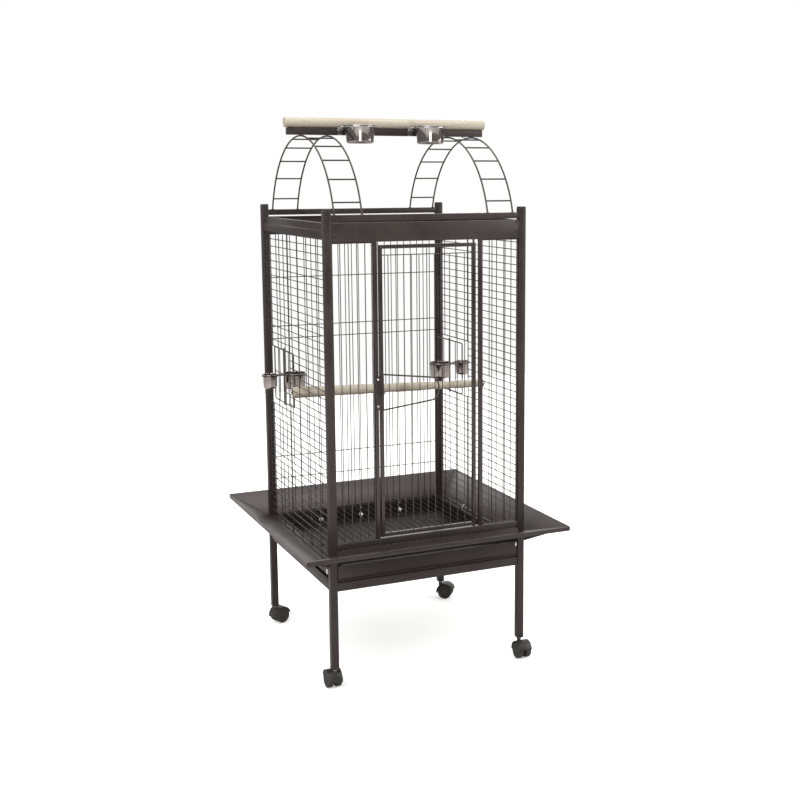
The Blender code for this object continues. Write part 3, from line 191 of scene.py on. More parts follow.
def addHexHead(bm, place, normal, radius, height):
    head = bmesh.new()
    made = bmesh.ops.create_cone(head, cap_ends=True, segments=6, radius1=radius, radius2=radius,
                                 depth=height, matrix=Matrix.Translation((0, 0, height / 2)))
    softEdges(head, made["verts"], radius * screwLook["hexEdge"])
    washer = scaled(disc(*screwLook["washer"]), radius, height)
    addTurned(head, washer, Matrix.Identity(4), roundSteps["washer"])
    head.transform(facing(place, normal))
    addCopy(bm, head)


def softCopy(node, material, body, width, segments=2):
    # The CAD solid again, with its sharp edges rounded
    bm = bmesh.new()
    bm.from_mesh(frame["nodes"][node].data)
    bmesh.ops.remove_doubles(bm, verts=bm.verts, dist=edgeLook["cadMerge"])
    bmesh.ops.dissolve_limit(bm, angle_limit=math.radians(edgeLook["flat"]), verts=bm.verts, edges=bm.edges,
                             delimit=set())
    softEdges(bm, list(bm.verts), width, segments)
    finishPiece(bm, node + "_shell", material, body, (node,))


# Shader groups: each puts out masks and heights only

def newGroup(name, inputs, outputs):
    group = bpy.data.node_groups.new(name, "ShaderNodeTree")
    group.interface.new_socket("Vector", in_out="INPUT", socket_type="NodeSocketVector")
    for label, value in inputs.items():
        group.interface.new_socket(label, in_out="INPUT", socket_type="NodeSocketFloat").default_value = value
    for label in outputs:
        group.interface.new_socket(label, in_out="OUTPUT", socket_type="NodeSocketFloat")
    return group, group.nodes.new("NodeGroupInput").outputs, group.nodes.new("NodeGroupOutput").inputs


def rangeNode(tree, value, low, high, toLow=0.0, toHigh=1.0):
    ranged = tree.nodes.new("ShaderNodeMapRange")
    for label, number in (("From Min", low), ("From Max", high), ("To Min", toLow), ("To Max", toHigh)):
        ranged.inputs[label].default_value = number
    tree.links.new(value, ranged.inputs["Value"])
    return ranged.outputs["Result"]


def noiseNode(tree, vector, scale, detail=3.0, roughness=0.55):
    noise = tree.nodes.new("ShaderNodeTexNoise")
    noise.inputs["Detail"].default_value = detail
    noise.inputs["Roughness"].default_value = roughness
    tree.links.new(vector, noise.inputs["Vector"])
    if isinstance(scale, (int, float)):
        noise.inputs["Scale"].default_value = scale
    else:
        tree.links.new(scale, noise.inputs["Scale"])
    return noise.outputs["Fac"]


def stretchNode(tree, vector, factors):
    stretched = tree.nodes.new("ShaderNodeVectorMath")
    stretched.operation = "MULTIPLY"
    stretched.inputs[1].default_value = factors
    tree.links.new(vector, stretched.inputs[0])
    return stretched.outputs["Vector"]


# Noise settings are (size, detail, roughness), or what of these a material doesn't set itself
coatGrainLook = {"patchDetail": 4.0, "patches": (0.32, 0.68), "fleckDetail": 2.0, "flecks": (0.52, 0.72),
                 "peel": (900.0, 2.0, 0.4)}


def makeCoatGrain():
    # Speckle and orange peel of a hammered powder coat
    group, given, result = newGroup("coatGrain", {"Patch Size": 9.0, "Fleck Size": 520.0},
                                    ("Patches", "Flecks", "Peel"))
    patches = noiseNode(group, given["Vector"], given["Patch Size"], coatGrainLook["patchDetail"])
    group.links.new(rangeNode(group, patches, *coatGrainLook["patches"]), result["Patches"])
    flecks = noiseNode(group, given["Vector"], given["Fleck Size"], coatGrainLook["fleckDetail"])
    group.links.new(rangeNode(group, flecks, *coatGrainLook["flecks"]), result["Flecks"])
    group.links.new(noiseNode(group, given["Vector"], *coatGrainLook["peel"]), result["Peel"])
    return group


woodGrainLook = {"squeeze": (0.35, 9.0, 9.0), "streak": (5.0, 0.62), "streaks": (0.30, 0.70),
                 "fineSqueeze": (0.6, 40.0, 40.0), "pore": (30.0, 3.0, 0.6), "pores": (0.50, 0.75),
                 "knot": (11.0, 2.0, 0.4), "knots": (0.62, 0.80)}


def makeWoodGrain():
    # Long streaks, pores and knots of a dowel that runs along X
    look = woodGrainLook
    group, given, result = newGroup("woodGrain", {"Stretch": 14.0}, ("Streaks", "Pores", "Knots"))
    long = stretchNode(group, given["Vector"], look["squeeze"])
    streaks = noiseNode(group, long, given["Stretch"], *look["streak"])
    group.links.new(rangeNode(group, streaks, *look["streaks"]), result["Streaks"])
    fine = stretchNode(group, given["Vector"], look["fineSqueeze"])
    pores = noiseNode(group, fine, *look["pore"])
    group.links.new(rangeNode(group, pores, *look["pores"]), result["Pores"])
    knots = noiseNode(group, given["Vector"], *look["knot"])
    group.links.new(rangeNode(group, knots, *look["knots"]), result["Knots"])
    return group


spunLook = {"lineDetail": 2.0, "smear": (38.0, 3.0), "smears": (0.35, 0.70)}


def makeSpunLines():
    # Fine rings left by spinning a cup, about the axis at the origin of the vector
    group, given, result = newGroup("spunLines", {"Fineness": 900.0}, ("Lines", "Smears"))
    reach = group.nodes.new("ShaderNodeVectorMath")
    reach.operation = "LENGTH"
    group.links.new(stretchNode(group, given["Vector"], (1.0, 1.0, 0.0)), reach.inputs[0])
    apart = group.nodes.new("ShaderNodeSeparateXYZ")
    group.links.new(given["Vector"], apart.inputs["Vector"])
    pair = group.nodes.new("ShaderNodeCombineXYZ")
    group.links.new(reach.outputs["Value"], pair.inputs["X"])
    group.links.new(apart.outputs["Z"], pair.inputs["Y"])
    lines = noiseNode(group, pair.outputs["Vector"], given["Fineness"], spunLook["lineDetail"])
    group.links.new(lines, result["Lines"])
    smears = noiseNode(group, given["Vector"], *spunLook["smear"])
    group.links.new(rangeNode(group, smears, *spunLook["smears"]), result["Smears"])
    return group


coatGrain = makeCoatGrain()
woodGrain = makeWoodGrain()
spunLines = makeSpunLines()


# Finishes

def newMaterial(name, metallic=0.0):
    material = bpy.data.materials.new(name)
    material.use_nodes = True
    tree = material.node_tree
    shader = tree.nodes["Principled BSDF"]
    shader.inputs["Metallic"].default_value = metallic
    place = tree.nodes.new("ShaderNodeTexCoord")
    return material, tree, shader, place.outputs["Object"]


def useGroup(tree, group, vector, values):
    node = tree.nodes.new("ShaderNodeGroup")
    node.node_tree = group
    tree.links.new(vector, node.inputs["Vector"])
    for label, value in values.items():
        node.inputs[label].default_value = value
    return node.outputs


def coatGrainOf(tree, vector, look):
    sizes = {"Patch Size": look["patchSize"], "Fleck Size": look["fleckSize"]}
    return useGroup(tree, coatGrain, vector, sizes)


def blendColours(tree, mask, low, high):
    # low and high are colours, or the output of another node
    mix = tree.nodes.new("ShaderNodeMix")
    mix.data_type = "RGBA"
    tree.links.new(mask, mix.inputs["Factor"])
    for socket, colour in ((mix.inputs["A"], low), (mix.inputs["B"], high)):
        if isinstance(colour, tuple):
            socket.default_value = (*colour, 1.0)
        else:
            tree.links.new(colour, socket)
    return mix.outputs["Result"]


def mixShaders(tree, mask, first, second):
    choice = tree.nodes.new("ShaderNodeMixShader")
    tree.links.new(mask, choice.inputs["Fac"])
    tree.links.new(first, choice.inputs[1])
    tree.links.new(second, choice.inputs[2])
    return choice.outputs["Shader"]


def addBump(tree, shader, height, strength, distance):
    bump = tree.nodes.new("ShaderNodeBump")
    bump.inputs["Strength"].default_value = strength
    bump.inputs["Distance"].default_value = distance
    tree.links.new(height, bump.inputs["Height"])
    tree.links.new(bump.outputs["Normal"], shader.inputs["Normal"])


def makeCoat(name, look, paintedShadeFrom=None):
    # Charcoal powder coat with brown flecks and soft orange peel; beyond a given Y it takes a painted shade,
    # darker and less shiny
    material, tree, shader, vector = newMaterial(name)
    grain = coatGrainOf(tree, vector, look)
    body = blendColours(tree, grain["Patches"], look["dark"], look["light"])
    body = blendColours(tree, grain["Flecks"], body, look["fleck"])
    # Painted shade: past the given Y the colour turns darker and the shine drops, standing in for the shade
    # inside the tray
    if paintedShadeFrom is not None:
        apart = tree.nodes.new("ShaderNodeSeparateXYZ")
        tree.links.new(vector, apart.inputs["Vector"])
        reach = (apart.outputs["Y"], paintedShadeFrom, paintedShadeFrom + look["paintedShadeBlend"])
        body = blendColours(tree, rangeNode(tree, *reach), body, look["paintedShade"])
        shine = rangeNode(tree, *reach, look["shine"], look["paintedShadeShine"])
        tree.links.new(shine, shader.inputs["Specular IOR Level"])
    tree.links.new(body, shader.inputs["Base Color"])
    smoother, rougher = (look["roughness"] + change for change in look["wear"])
    tree.links.new(rangeNode(tree, grain["Patches"], 0.0, 1.0, smoother, rougher), shader.inputs["Roughness"])
    shader.inputs["Coat Weight"].default_value = look["coat"]
    shader.inputs["Coat Roughness"].default_value = look["coatRoughness"]
    shader.inputs["Specular IOR Level"].default_value = look["shine"]
    shader.inputs["Specular Tint"].default_value = (*look["tint"], 1.0)
    addBump(tree, shader, grain["Peel"], look["peel"], look["peelDepth"])
    return material


def makeSteel(name, look, centre=None, metallic=1.0):
    # Bright steel, with spinning marks round a cup's own axis
    material, tree, shader, vector = newMaterial(name, metallic)
    if centre is not None:
        shift = tree.nodes.new("ShaderNodeMapping")
        shift.inputs["Location"].default_value = (-centre.x, -centre.y, 0.0)
        tree.links.new(vector, shift.inputs["Vector"])
        vector = shift.outputs["Vector"]
    lines = useGroup(tree, spunLines, vector, {"Fineness": look["fineness"]})
    body = blendColours(tree, lines["Smears"], look["bright"], look["dull"])
    tree.links.new(body, shader.inputs["Base Color"])
    smoother, rougher = (look["roughness"] * share for share in look["wear"])
    tree.links.new(rangeNode(tree, lines["Smears"], 0.0, 1.0, smoother, rougher), shader.inputs["Roughness"])
    addBump(tree, shader, lines["Lines"], look["marks"], look["markDepth"])
    return material


def makeWood(name, look):
    material, tree, shader, vector = newMaterial(name)
    grain = useGroup(tree, woodGrain, vector, {"Stretch": look["stretch"]})
    body = blendColours(tree, grain["Streaks"], look["pale"], look["grain"])
    body = blendColours(tree, grain["Knots"], body, look["knot"])
    tree.links.new(blendColours(tree, grain["Pores"], body, look["pore"]), shader.inputs["Base Color"])
    worn = rangeNode(tree, grain["Streaks"], 0.0, 1.0, *look["roughness"])
    tree.links.new(worn, shader.inputs["Roughness"])
    addBump(tree, shader, grain["Streaks"], look["relief"], look["reliefDepth"])
    return material


def makePlastic(name, look):
    material, tree, shader, vector = newMaterial(name)
    grain = coatGrainOf(tree, vector, look)
    body = blendColours(tree, grain["Patches"], look["dark"], look["light"])
    tree.links.new(body, shader.inputs["Base Color"])
    worn = rangeNode(tree, grain["Flecks"], 0.0, 1.0, look["roughness"], look["roughness"] + look["wear"])
    tree.links.new(worn, shader.inputs["Roughness"])
    addBump(tree, shader, grain["Flecks"], look["relief"], look["reliefDepth"])
    return material


coatLook = {"dark": (0.0170, 0.0125, 0.0112), "light": (0.0260, 0.0200, 0.0178),
            "fleck": (0.048, 0.038, 0.034), "tint": (1.0, 0.92, 0.89), "roughness": 0.42,
            "wear": (-0.06, 0.07), "patchSize": 9.0, "fleckSize": 520.0, "coat": 0.10, "coatRoughness": 0.22,
            "shine": 0.34, "peel": 0.35, "peelDepth": 0.0004}
sheetLook = {**coatLook, "roughness": 0.38, "coat": 0.2, "patchSize": 5.0, "fleckSize": 700.0}
# The tray's inside takes a painted shade colour with less shine, for the shade that falls there
trayLook = {**sheetLook, "paintedShade": (0.0150, 0.0120, 0.0112), "paintedShadeShine": 0.04, "paintedShadeBlend": 0.0008}
# Grate wires painted darker than the coat as painted shade, so they sink into the shaded tray
grateLook = {**coatLook, "dark": (0.0100, 0.0080, 0.0074), "light": (0.0150, 0.0120, 0.0112),
             "fleck": (0.026, 0.021, 0.019), "roughness": 0.55, "coat": 0.0, "shine": 0.12}
# Near black with little shine: a painted shadow for the grate's front bar, which sits in the shade under the
# skirt's front flap
paintedShadeBarLook = {**coatLook, "dark": (0.0050, 0.0042, 0.0040), "light": (0.0080, 0.0066, 0.0062),
             "fleck": (0.014, 0.012, 0.011), "coat": 0.0, "shine": 0.10}
wireCoatLook = {**coatLook, "roughness": 0.36, "peel": 0.2, "patchSize": 30.0, "shine": 0.45}
tubeCoatLook = {**coatLook, "roughness": 0.26, "coat": 0.35, "shine": 0.5, "peel": 0.15}
steelLook = {"bright": (0.70, 0.70, 0.69), "dull": (0.52, 0.51, 0.50), "roughness": 0.22, "wear": (0.7, 1.6),
             "fineness": 700.0, "marks": 0.12, "markDepth": 0.0001}
zincLook = {**steelLook, "bright": (0.92, 0.91, 0.90), "dull": (0.80, 0.79, 0.78), "roughness": 0.38,
            "marks": 0.08}
cupLook = {**steelLook, "bright": (0.52, 0.475, 0.455), "dull": (0.33, 0.295, 0.28), "roughness": 0.07,
           "fineness": 1500.0, "marks": 0.05}
feederCupLook = {**cupLook, "bright": (0.44, 0.395, 0.375), "dull": (0.27, 0.24, 0.225)}
woodLook = {"pale": (0.39, 0.355, 0.28), "grain": (0.30, 0.265, 0.20), "knot": (0.21, 0.17, 0.12),
            "pore": (0.23, 0.19, 0.14), "roughness": (0.52, 0.72), "stretch": 14.0, "relief": 0.25,
            "reliefDepth": 0.0006}
plasticLook = {"dark": (0.012, 0.011, 0.011), "light": (0.022, 0.020, 0.019), "roughness": 0.42, "wear": 0.15,
               "patchSize": 30.0, "fleckSize": 1400.0, "relief": 0.15, "reliefDepth": 0.0002}
hubLook = {**plasticLook, "dark": (0.020, 0.018, 0.017), "light": (0.032, 0.029, 0.027), "roughness": 0.50}

coat = makeCoat("charcoalCoat", coatLook)
wireCoat = makeCoat("wireCoat", wireCoatLook)
grateCoat = makeCoat("grateCoat", grateLook)
sheetCoat = makeCoat("sheetCoat", sheetLook)
tubeCoat = makeCoat("tubeCoat", tubeCoatLook)
paintedShadeBarCoat = makeCoat("paintedShadeBarCoat", paintedShadeBarLook)
zinc = makeSteel("dullZinc", zincLook, metallic=0.25)
steel = makeSteel("brightSteel", steelLook)
wood = makeWood("paleWood", woodLook)
plastic = makePlastic("blackPlastic", plasticLook)
hubPlastic = makePlastic("hubPlastic", hubLook)
print("finishes made")


# Camera, floor and light

cameraLook = {"place": (-1.3912, -3.5215, 1.4501), "azimuth": -25.605, "elevation": 9.119, "lens": 56.46,
              "shiftX": -0.0970, "shiftY": -0.0325}


def makeCamera():
    camera = bpy.data.objects.new("camera", bpy.data.cameras.new("camera"))
    camera.data.sensor_width = 36.0
    camera.data.lens = cameraLook["lens"]
    camera.data.shift_x = cameraLook["shiftX"]
    camera.data.shift_y = cameraLook["shiftY"]
    camera.data.clip_end = 100.0
    camera.location = cameraLook["place"]
    tilt, turn = math.radians(90 - cameraLook["elevation"]), math.radians(cameraLook["azimuth"])
    camera.rotation_euler = (tilt, 0.0, turn)
    scene.collection.objects.link(camera)
    scene.camera = camera


floorLook = {"size": 9.0, "drop": 0.0004, "colour": (0.82, 0.82, 0.815), "roughness": 0.8, "shine": 0.2,
             "glow": 0.34, "bounced": (0.48, 0.46, 0.45)}


def makeFloor():
    bm = bmesh.new()
    bmesh.ops.create_grid(bm, x_segments=1, y_segments=1, size=floorLook["size"] / 2)
    bmesh.ops.translate(bm, verts=bm.verts, vec=(0, 0, -floorLook["drop"]))
    mesh = bpy.data.meshes.new("floor")
    bm.to_mesh(mesh)
    bm.free()
    # Blown out white to the camera, a darker sheet to the light that it throws back under the cage
    material = bpy.data.materials.new("paleFloor")
    material.use_nodes = True
    tree = material.node_tree
    shader = tree.nodes["Principled BSDF"]
    shader.inputs["Base Color"].default_value = (*floorLook["colour"], 1.0)
    shader.inputs["Roughness"].default_value = floorLook["roughness"]
    shader.inputs["Specular IOR Level"].default_value = floorLook["shine"]
    shader.inputs["Emission Color"].default_value = (1.0, 1.0, 1.0, 1.0)
    shader.inputs["Emission Strength"].default_value = floorLook["glow"]
    dim = tree.nodes.new("ShaderNodeBsdfDiffuse")
    dim.inputs["Color"].default_value = (*floorLook["bounced"], 1.0)
    path = tree.nodes.new("ShaderNodeLightPath")
    choice = mixShaders(tree, path.outputs["Is Camera Ray"], dim.outputs["BSDF"], shader.outputs["BSDF"])
    tree.links.new(choice, tree.nodes["Material Output"].inputs["Surface"])
    mesh.materials.append(material)
    floor = bpy.data.objects.new("floor", mesh)
    scene.collection.objects.link(floor)


lightLook = {
    "key": {"place": (-2.6, -2.4, 3.6), "aim": (0, 0, 0.9), "size": 2.4, "power": 120},
    "fill": {"place": (3.4, -1.8, 2.2), "aim": (0, 0, 0.8), "size": 2.6, "power": 70},
    "top": {"place": (0.2, 0.4, 4.6), "aim": (0, 0, 0.5), "size": 3.2, "power": 90},
    "low": {"place": (-1.4, -3.8, 0.45), "aim": (0, -0.3, 0.34), "size": 1.2, "power": 16}}


def makeLights():
    for name, look in lightLook.items():
        light = bpy.data.lights.new(name, "AREA")
        light.shape = "SQUARE"
        light.size = look["size"]
        light.energy = look["power"]
        holder = bpy.data.objects.new(name + "Light", light)
        holder.location = look["place"]
        aim = Vector(look["aim"]) - Vector(look["place"])
        holder.rotation_euler = aim.to_track_quat("-Z", "Y").to_euler()
        scene.collection.objects.link(holder)


# Bands are (share of the way round, brightness) of what shiny pieces mirror
worldLook = {"light": 1.22, "mirrored": 0.80, "ground": (0.30, 0.29, 0.28), "groundTop": 0.01,
             "groundFade": 0.06, "overhead": (0.25, 0.75),
             "bands": ((0.00, 0.08), (0.05, 0.22), (0.10, 0.20), (0.15, 0.08), (0.17, 1.80), (0.20, 1.80),
                       (0.22, 0.07), (0.31, 0.07), (0.37, 0.60), (0.39, 1.40), (0.42, 0.90), (0.45, 0.10),
                       (0.56, 0.12), (0.62, 1.90), (0.74, 2.00), (0.80, 0.15), (0.86, 0.12), (0.88, 1.60),
                       (0.92, 1.60), (0.94, 0.15), (1.00, 0.15))}


def backgroundNode(tree, strength, colour=None):
    node = tree.nodes.new("ShaderNodeBackground")
    node.inputs["Strength"].default_value = strength
    if colour is None:
        node.inputs["Color"].default_value = (1.0, 1.0, 1.0, 1.0)
    else:
        tree.links.new(colour, node.inputs["Color"])
    return node.outputs["Background"]


def makeWorld():
    # Even white light, white for the camera, and a studio of softboxes and dark gaps for reflections
    look = worldLook
    world = bpy.data.worlds.new("studio")
    world.use_nodes = True
    tree = world.node_tree
    links = tree.links
    place = tree.nodes.new("ShaderNodeTexCoord")
    apart = tree.nodes.new("ShaderNodeSeparateXYZ")
    links.new(place.outputs["Generated"], apart.inputs["Vector"])
    around = tree.nodes.new("ShaderNodeMath")
    around.operation = "ARCTAN2"
    links.new(apart.outputs["Y"], around.inputs[0])
    links.new(apart.outputs["X"], around.inputs[1])
    ramp = tree.nodes.new("ShaderNodeValToRGB")
    stops = ramp.color_ramp.elements
    for spot, level in look["bands"][1:-1]:
        stops.new(spot).color = (level, level, level, 1.0)
    for end in (0, -1):
        stops[end].color = (*[look["bands"][end][1]] * 3, 1.0)
    links.new(rangeNode(tree, around.outputs["Value"], -math.pi, math.pi), ramp.inputs["Fac"])
    sky = rangeNode(tree, apart.outputs["Z"], *look["overhead"])
    studio = blendColours(tree, sky, ramp.outputs["Color"], (1.0, 1.0, 1.0))
    ground = rangeNode(tree, apart.outputs["Z"], look["groundTop"] - look["groundFade"], look["groundTop"])
    studio = blendColours(tree, ground, look["ground"], studio)
    path = tree.nodes.new("ShaderNodeLightPath").outputs
    lit = mixShaders(tree, path["Is Glossy Ray"], backgroundNode(tree, look["light"]),
                     backgroundNode(tree, look["mirrored"], studio))
    seen = mixShaders(tree, path["Is Camera Ray"], lit, backgroundNode(tree, 1.0))
    output = [node for node in tree.nodes if node.type == "OUTPUT_WORLD"][0]
    links.new(seen, output.inputs["Surface"])
    scene.world = world


scene.view_settings.view_transform = "Standard"
makeCamera()
makeFloor()
makeLights()
makeWorld()
print("studio set")


# Square tube posts with caps and foot inserts

postLook = {"edge": 0.0024, "inset": 0.0006, "capHeight": 0.0040, "capLap": 0.0010, "capEdge": 0.0014,
            "insertHeight": 0.0035, "insertDrop": 0.0002, "insertEdge": 0.0008}


def makePosts():
    look = postLook
    for corner in corners:
        low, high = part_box(corner + "_post")
        inset = xyz(look["inset"], look["inset"], 0)
        inLow, inHigh = low + inset, high - inset
        capZ = high.z - look["capHeight"] - look["capLap"]
        tube, cap, insert = bmesh.new(), bmesh.new(), bmesh.new()
        addBlock(tube, low, high - xyz(0, 0, look["capHeight"]), look["edge"], 3)
        finishPiece(tube, corner + "_tube", coat, "cage", (corner + "_post",))
        addBlock(cap, (inLow.x, inLow.y, capZ), inHigh, look["capEdge"], 3)
        finishPiece(cap, corner + "_cap", plastic, "cage")
        addBlock(insert, inLow - xyz(0, 0, look["insertDrop"]),
                 (inHigh.x, inHigh.y, low.z + look["insertHeight"]), look["insertEdge"])
        finishPiece(insert, corner + "_foot_insert", plastic, "cage")


# Folded bands, rails and skirt

foldLook = {"sheet": (0.0005, 2), "tube": (0.0016, 3), "rail": (0.0014, 2)}  # rounding and its segments


def makeBands():
    ends, flanks = walls[:2], walls[2:]
    for kind, group, material, fold in (
            ("header", walls, coat, "sheet"), ("top_rail", ends, coat, "tube"),
            ("stand_rail", walls, coat, "tube"), ("bottom_rail", ends, tubeCoat, "rail"),
            ("bottom_rail", flanks, coat, "sheet"), ("skirt", walls, sheetCoat, "sheet")):
        for wall in group:
            softCopy(wall + "_" + kind, material, "cage", *foldLook[fold])


# Welded wire panels

wireLook = {"radius": 0.0014, "edge": 0.0017, "press": 0.9, "pitch": 0.0227, "sidePitch": 0.0222,
            "upright": 0.0878, "uprights": 8, "uprightMargin": 0.012,
            "backCross": (0.482, 0.553, 0.933, 0.972, 1.126), "topCross": 3}


def evenly(start, end, pitch):
    count = max(2, round((end - start) / pitch))
    return [start + (end - start) * i / count for i in range(1, count)]


def addPanel(bm, plane, runAxis, stackAxis, low, high, wires, crossings, outward):
    # Border rods, long wires in the outer layer and cross wires welded behind them
    edge, radius = wireLook["edge"], wireLook["radius"]

    def addRod(axis, at, depth, inset, thickness):
        ends = []
        for end in (low[axis] + inset, high[axis] - inset):
            place = [depth, depth, depth]
            place[axis] = end
            place[runAxis + stackAxis - axis] = at
            ends.append(place)
        addBar(bm, *ends, thickness, "wire")

    for at in (low[stackAxis] + edge, high[stackAxis] - edge):
        addRod(runAxis, at, plane, 0.0, edge)
    for at in (low[runAxis] + edge, high[runAxis] - edge):
        addRod(stackAxis, at, plane, 0.0, edge)
    for at in wires:
        addRod(runAxis, at, plane + outward * radius, edge, radius)
    for at in crossings:
        addRod(stackAxis, at, plane - outward * radius * wireLook["press"], edge, radius)


def makeSidePanels():
    count, margin = wireLook["uprights"], wireLook["uprightMargin"]
    for side, sign in sides.items():
        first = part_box(side + "_grille_front")[1].y
        for part in ("front", "lower", "upper"):
            node = side + "_grille_" + part
            low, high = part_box(node)
            uprights = [first + wireLook["upright"] * i for i in range(-count, count + 1)]
            uprights = [y for y in uprights if low.y + margin < y < high.y - margin]
            rows = evenly(low.z, high.z, wireLook["sidePitch"])
            bm = bmesh.new()
            addPanel(bm, middle(node).x, 1, 2, low, high, rows, uprights, sign)
            finishPiece(bm, node + "_wires", wireCoat, "cage", (node,))


def makeBackPanel():
    low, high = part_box("back_grille")
    bm = bmesh.new()
    addPanel(bm, middle("back_grille").y, 2, 0, low, high, evenly(low.x, high.x, wireLook["pitch"]),
             wireLook["backCross"], 1)
    finishPiece(bm, "back_grille_wires", wireCoat, "cage", ("back_grille",))


def makeTopPanel():
    low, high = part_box("top_grille")
    count = wireLook["topCross"]
    step = (high.y - low.y) / (count + 1)
    bm = bmesh.new()
    addPanel(bm, middle("top_grille").z, 1, 0, low, high, evenly(low.x, high.x, wireLook["pitch"]),
             [low.y + step * i for i in range(1, count + 1)], 1)
    finishPiece(bm, "top_grille_wires", wireCoat, "cage", ("top_grille",))


tubeLook = {"size": 0.0105, "edge": 0.0013}


def makeFrontPanels():
    size = tubeLook["size"]
    for node, tubeSide in (("front_left_panel", 1), ("front_right_panel", -1)):
        low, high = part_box(node)
        plane = middle(node).y
        start = high.x - size if tubeSide > 0 else low.x
        inner = (low.x, start) if tubeSide > 0 else (start + size, high.x)
        bm = bmesh.new()
        addBlock(bm, (start, plane - size / 2, low.z), (start + size, plane + size / 2, high.z),
                 tubeLook["edge"], 3)
        addPanel(bm, plane, 2, 0, xyz(inner[0], low.y, low.z), xyz(inner[1], high.y, high.z),
                 evenly(*inner, wireLook["pitch"]), (), -1)
        finishPiece(bm, node + "_wires", tubeCoat, "cage", (node,))


# Door: tube frame, wires, guard loop and hinge pins; lap and wireIn are shares of the tube

doorLook = {"topGap": 0.0089, "bottomGap": 0.0037, "lap": 0.8, "inset": 0.0002, "margin": 0.0180,
            "pitch": 0.0232, "count": 11, "longWires": (1, 5), "wire": 0.0014, "wireIn": 0.9,
            "wireLap": 0.0008, "wireBack": 0.0012, "crossBack": 0.0024, "gridDrop": 0.0280, "pin": 0.0030,
            "pinLap": 0.002, "pinReach": 0.004}
loopLook = {"wire": 0.0023, "gap": 0.0003, "in": 0.75, "start": 0.0510, "end": 0.0330, "straight": 0.1500,
            "bulge": 0.0240, "steps": 10}


def loopPath():
    # Half of the guard loop as (along, up), and its mirror image below
    straight, tip = loopLook["straight"], loopLook["end"]
    half = [(0.0, loopLook["start"]), (straight / 2, (loopLook["start"] + tip) / 2)]
    for i in range(loopLook["steps"] + 1):
        turn = math.pi / 2 * i / loopLook["steps"]
        half.append((straight + loopLook["bulge"] * math.sin(turn), tip * math.cos(turn)))
    return half + [(along, -up) for along, up in half[-2::-1]]


def makeDoor():
    look = doorLook
    tube, edge = tubeLook["size"], tubeLook["edge"]
    low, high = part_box("front_door")
    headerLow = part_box("front_header")[0].z
    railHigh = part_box("front_bottom_rail")[1].z
    top, bottom = headerLow - look["topGap"], railHigh + look["bottomGap"]
    plane = middle("front_door").y
    near, far = plane - tube / 2, plane + tube / 2
    bm = bmesh.new()
    for x in (low.x, high.x - tube):
        addBlock(bm, (x, near, bottom), (x + tube, far, top), edge, 3)
    lap = tube * look["lap"]
    for z in (bottom, top - tube):
        addBlock(bm, (low.x + lap, near + look["inset"], z), (high.x - lap, far - look["inset"], z + tube),
                 edge, 3)
    wireY = plane - look["wireBack"]
    crossY = wireY - look["crossBack"]
    gridTop = top - look["gridDrop"]
    wireIn = tube * look["wireIn"]
    for i in range(look["count"]):
        x = low.x + tube + look["margin"] + look["pitch"] * i
        end = top - tube if i in look["longWires"] else gridTop
        addBar(bm, (x, wireY, bottom + wireIn), (x, wireY, end + look["wireLap"]), look["wire"], "wire")
    addBar(bm, (low.x + wireIn, crossY, gridTop), (high.x - wireIn, crossY, gridTop), look["wire"], "wire")
    loopX, latchZ = low.x + tube * loopLook["in"], middle("latch_plate").z
    loopY = far - loopLook["wire"] - loopLook["gap"]
    addWire(bm, [(loopX + along, loopY, latchZ + up) for along, up in loopPath()], loopLook["wire"])
    pinX = high.x - tube / 2
    for pinBottom, pinTop in ((top - look["pinLap"], headerLow + look["pinReach"]),
                              (railHigh - look["pinReach"], bottom + look["pinLap"])):
        addBar(bm, (pinX, plane, pinBottom), (pinX, plane, pinTop), look["pin"], "pin")
    finishPiece(bm, "front_door_frame", tubeCoat, "door", ("front_door",))


# The grip's outline is in shares of its radius and depth
latchLook = {"plateEdge": 0.0009, "screw": 0.0036, "screwGap": 0.038, "screwIn": 0.0055, "gap": 0.0003,
             "grip": ((0.0, 1.0), (0.55, 1.0), (0.78, 0.93), (0.86, 0.80), (0.90, 0.25), (1.0, 0.12),
                      (1.0, 0.0), (0.0, 0.0)),
             "ridge": 0.0013, "ridgeRise": 0.0010, "ridgeDepth": 0.4, "ridgeReach": 0.75, "ridgeEdge": 0.0005,
             "shaft": 0.0025, "lap": 0.002, "cam": 0.0075, "camEdge": 0.0007}


def makeLatch():
    look = latchLook
    low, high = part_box("latch_plate")
    z = (low.z + high.z) / 2
    plate, screws, turner = bmesh.new(), bmesh.new(), bmesh.new()
    addBlock(plate, low, high, look["plateEdge"])
    finishPiece(plate, "latch_plate_shell", sheetCoat, "door", ("latch_plate",))
    for up in (-look["screwGap"], look["screwGap"]):
        addScrew(screws, (low.x + look["screwIn"], low.y, z + up), (0, -1, 0), look["screw"])
    finishPiece(screws, "latch_screws", steel, "door")
    knobLow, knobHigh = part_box("latch_knob")
    face = low.y - look["gap"]
    depth = face - knobLow.y
    radius = (knobHigh.x - knobLow.x) / 2
    x = middle("latch_knob").x
    addTurned(turner, scaled(look["grip"], radius, depth), facing((x, face, z), (0, -1, 0)), roundSteps["dowel"])
    ridge, reach = look["ridge"], radius * look["ridgeReach"]
    addBlock(turner, (x - ridge, knobLow.y - look["ridgeRise"], z - reach),
             (x + ridge, face - depth * look["ridgeDepth"], z + reach), look["ridgeEdge"])
    addBar(turner, (x, face - look["lap"], z), (x, knobHigh.y, z), look["shaft"], "screw")
    half = look["cam"] / 2
    addBlock(turner, (x - half, knobHigh.y - look["lap"], z - half), (x + half, knobHigh.y, knobHigh.z),
             look["camEdge"])
    finishPiece(turner, "latch_knob_grip", plastic, "latch", ("latch_knob",))


# Ladder arches, beam and perch on top

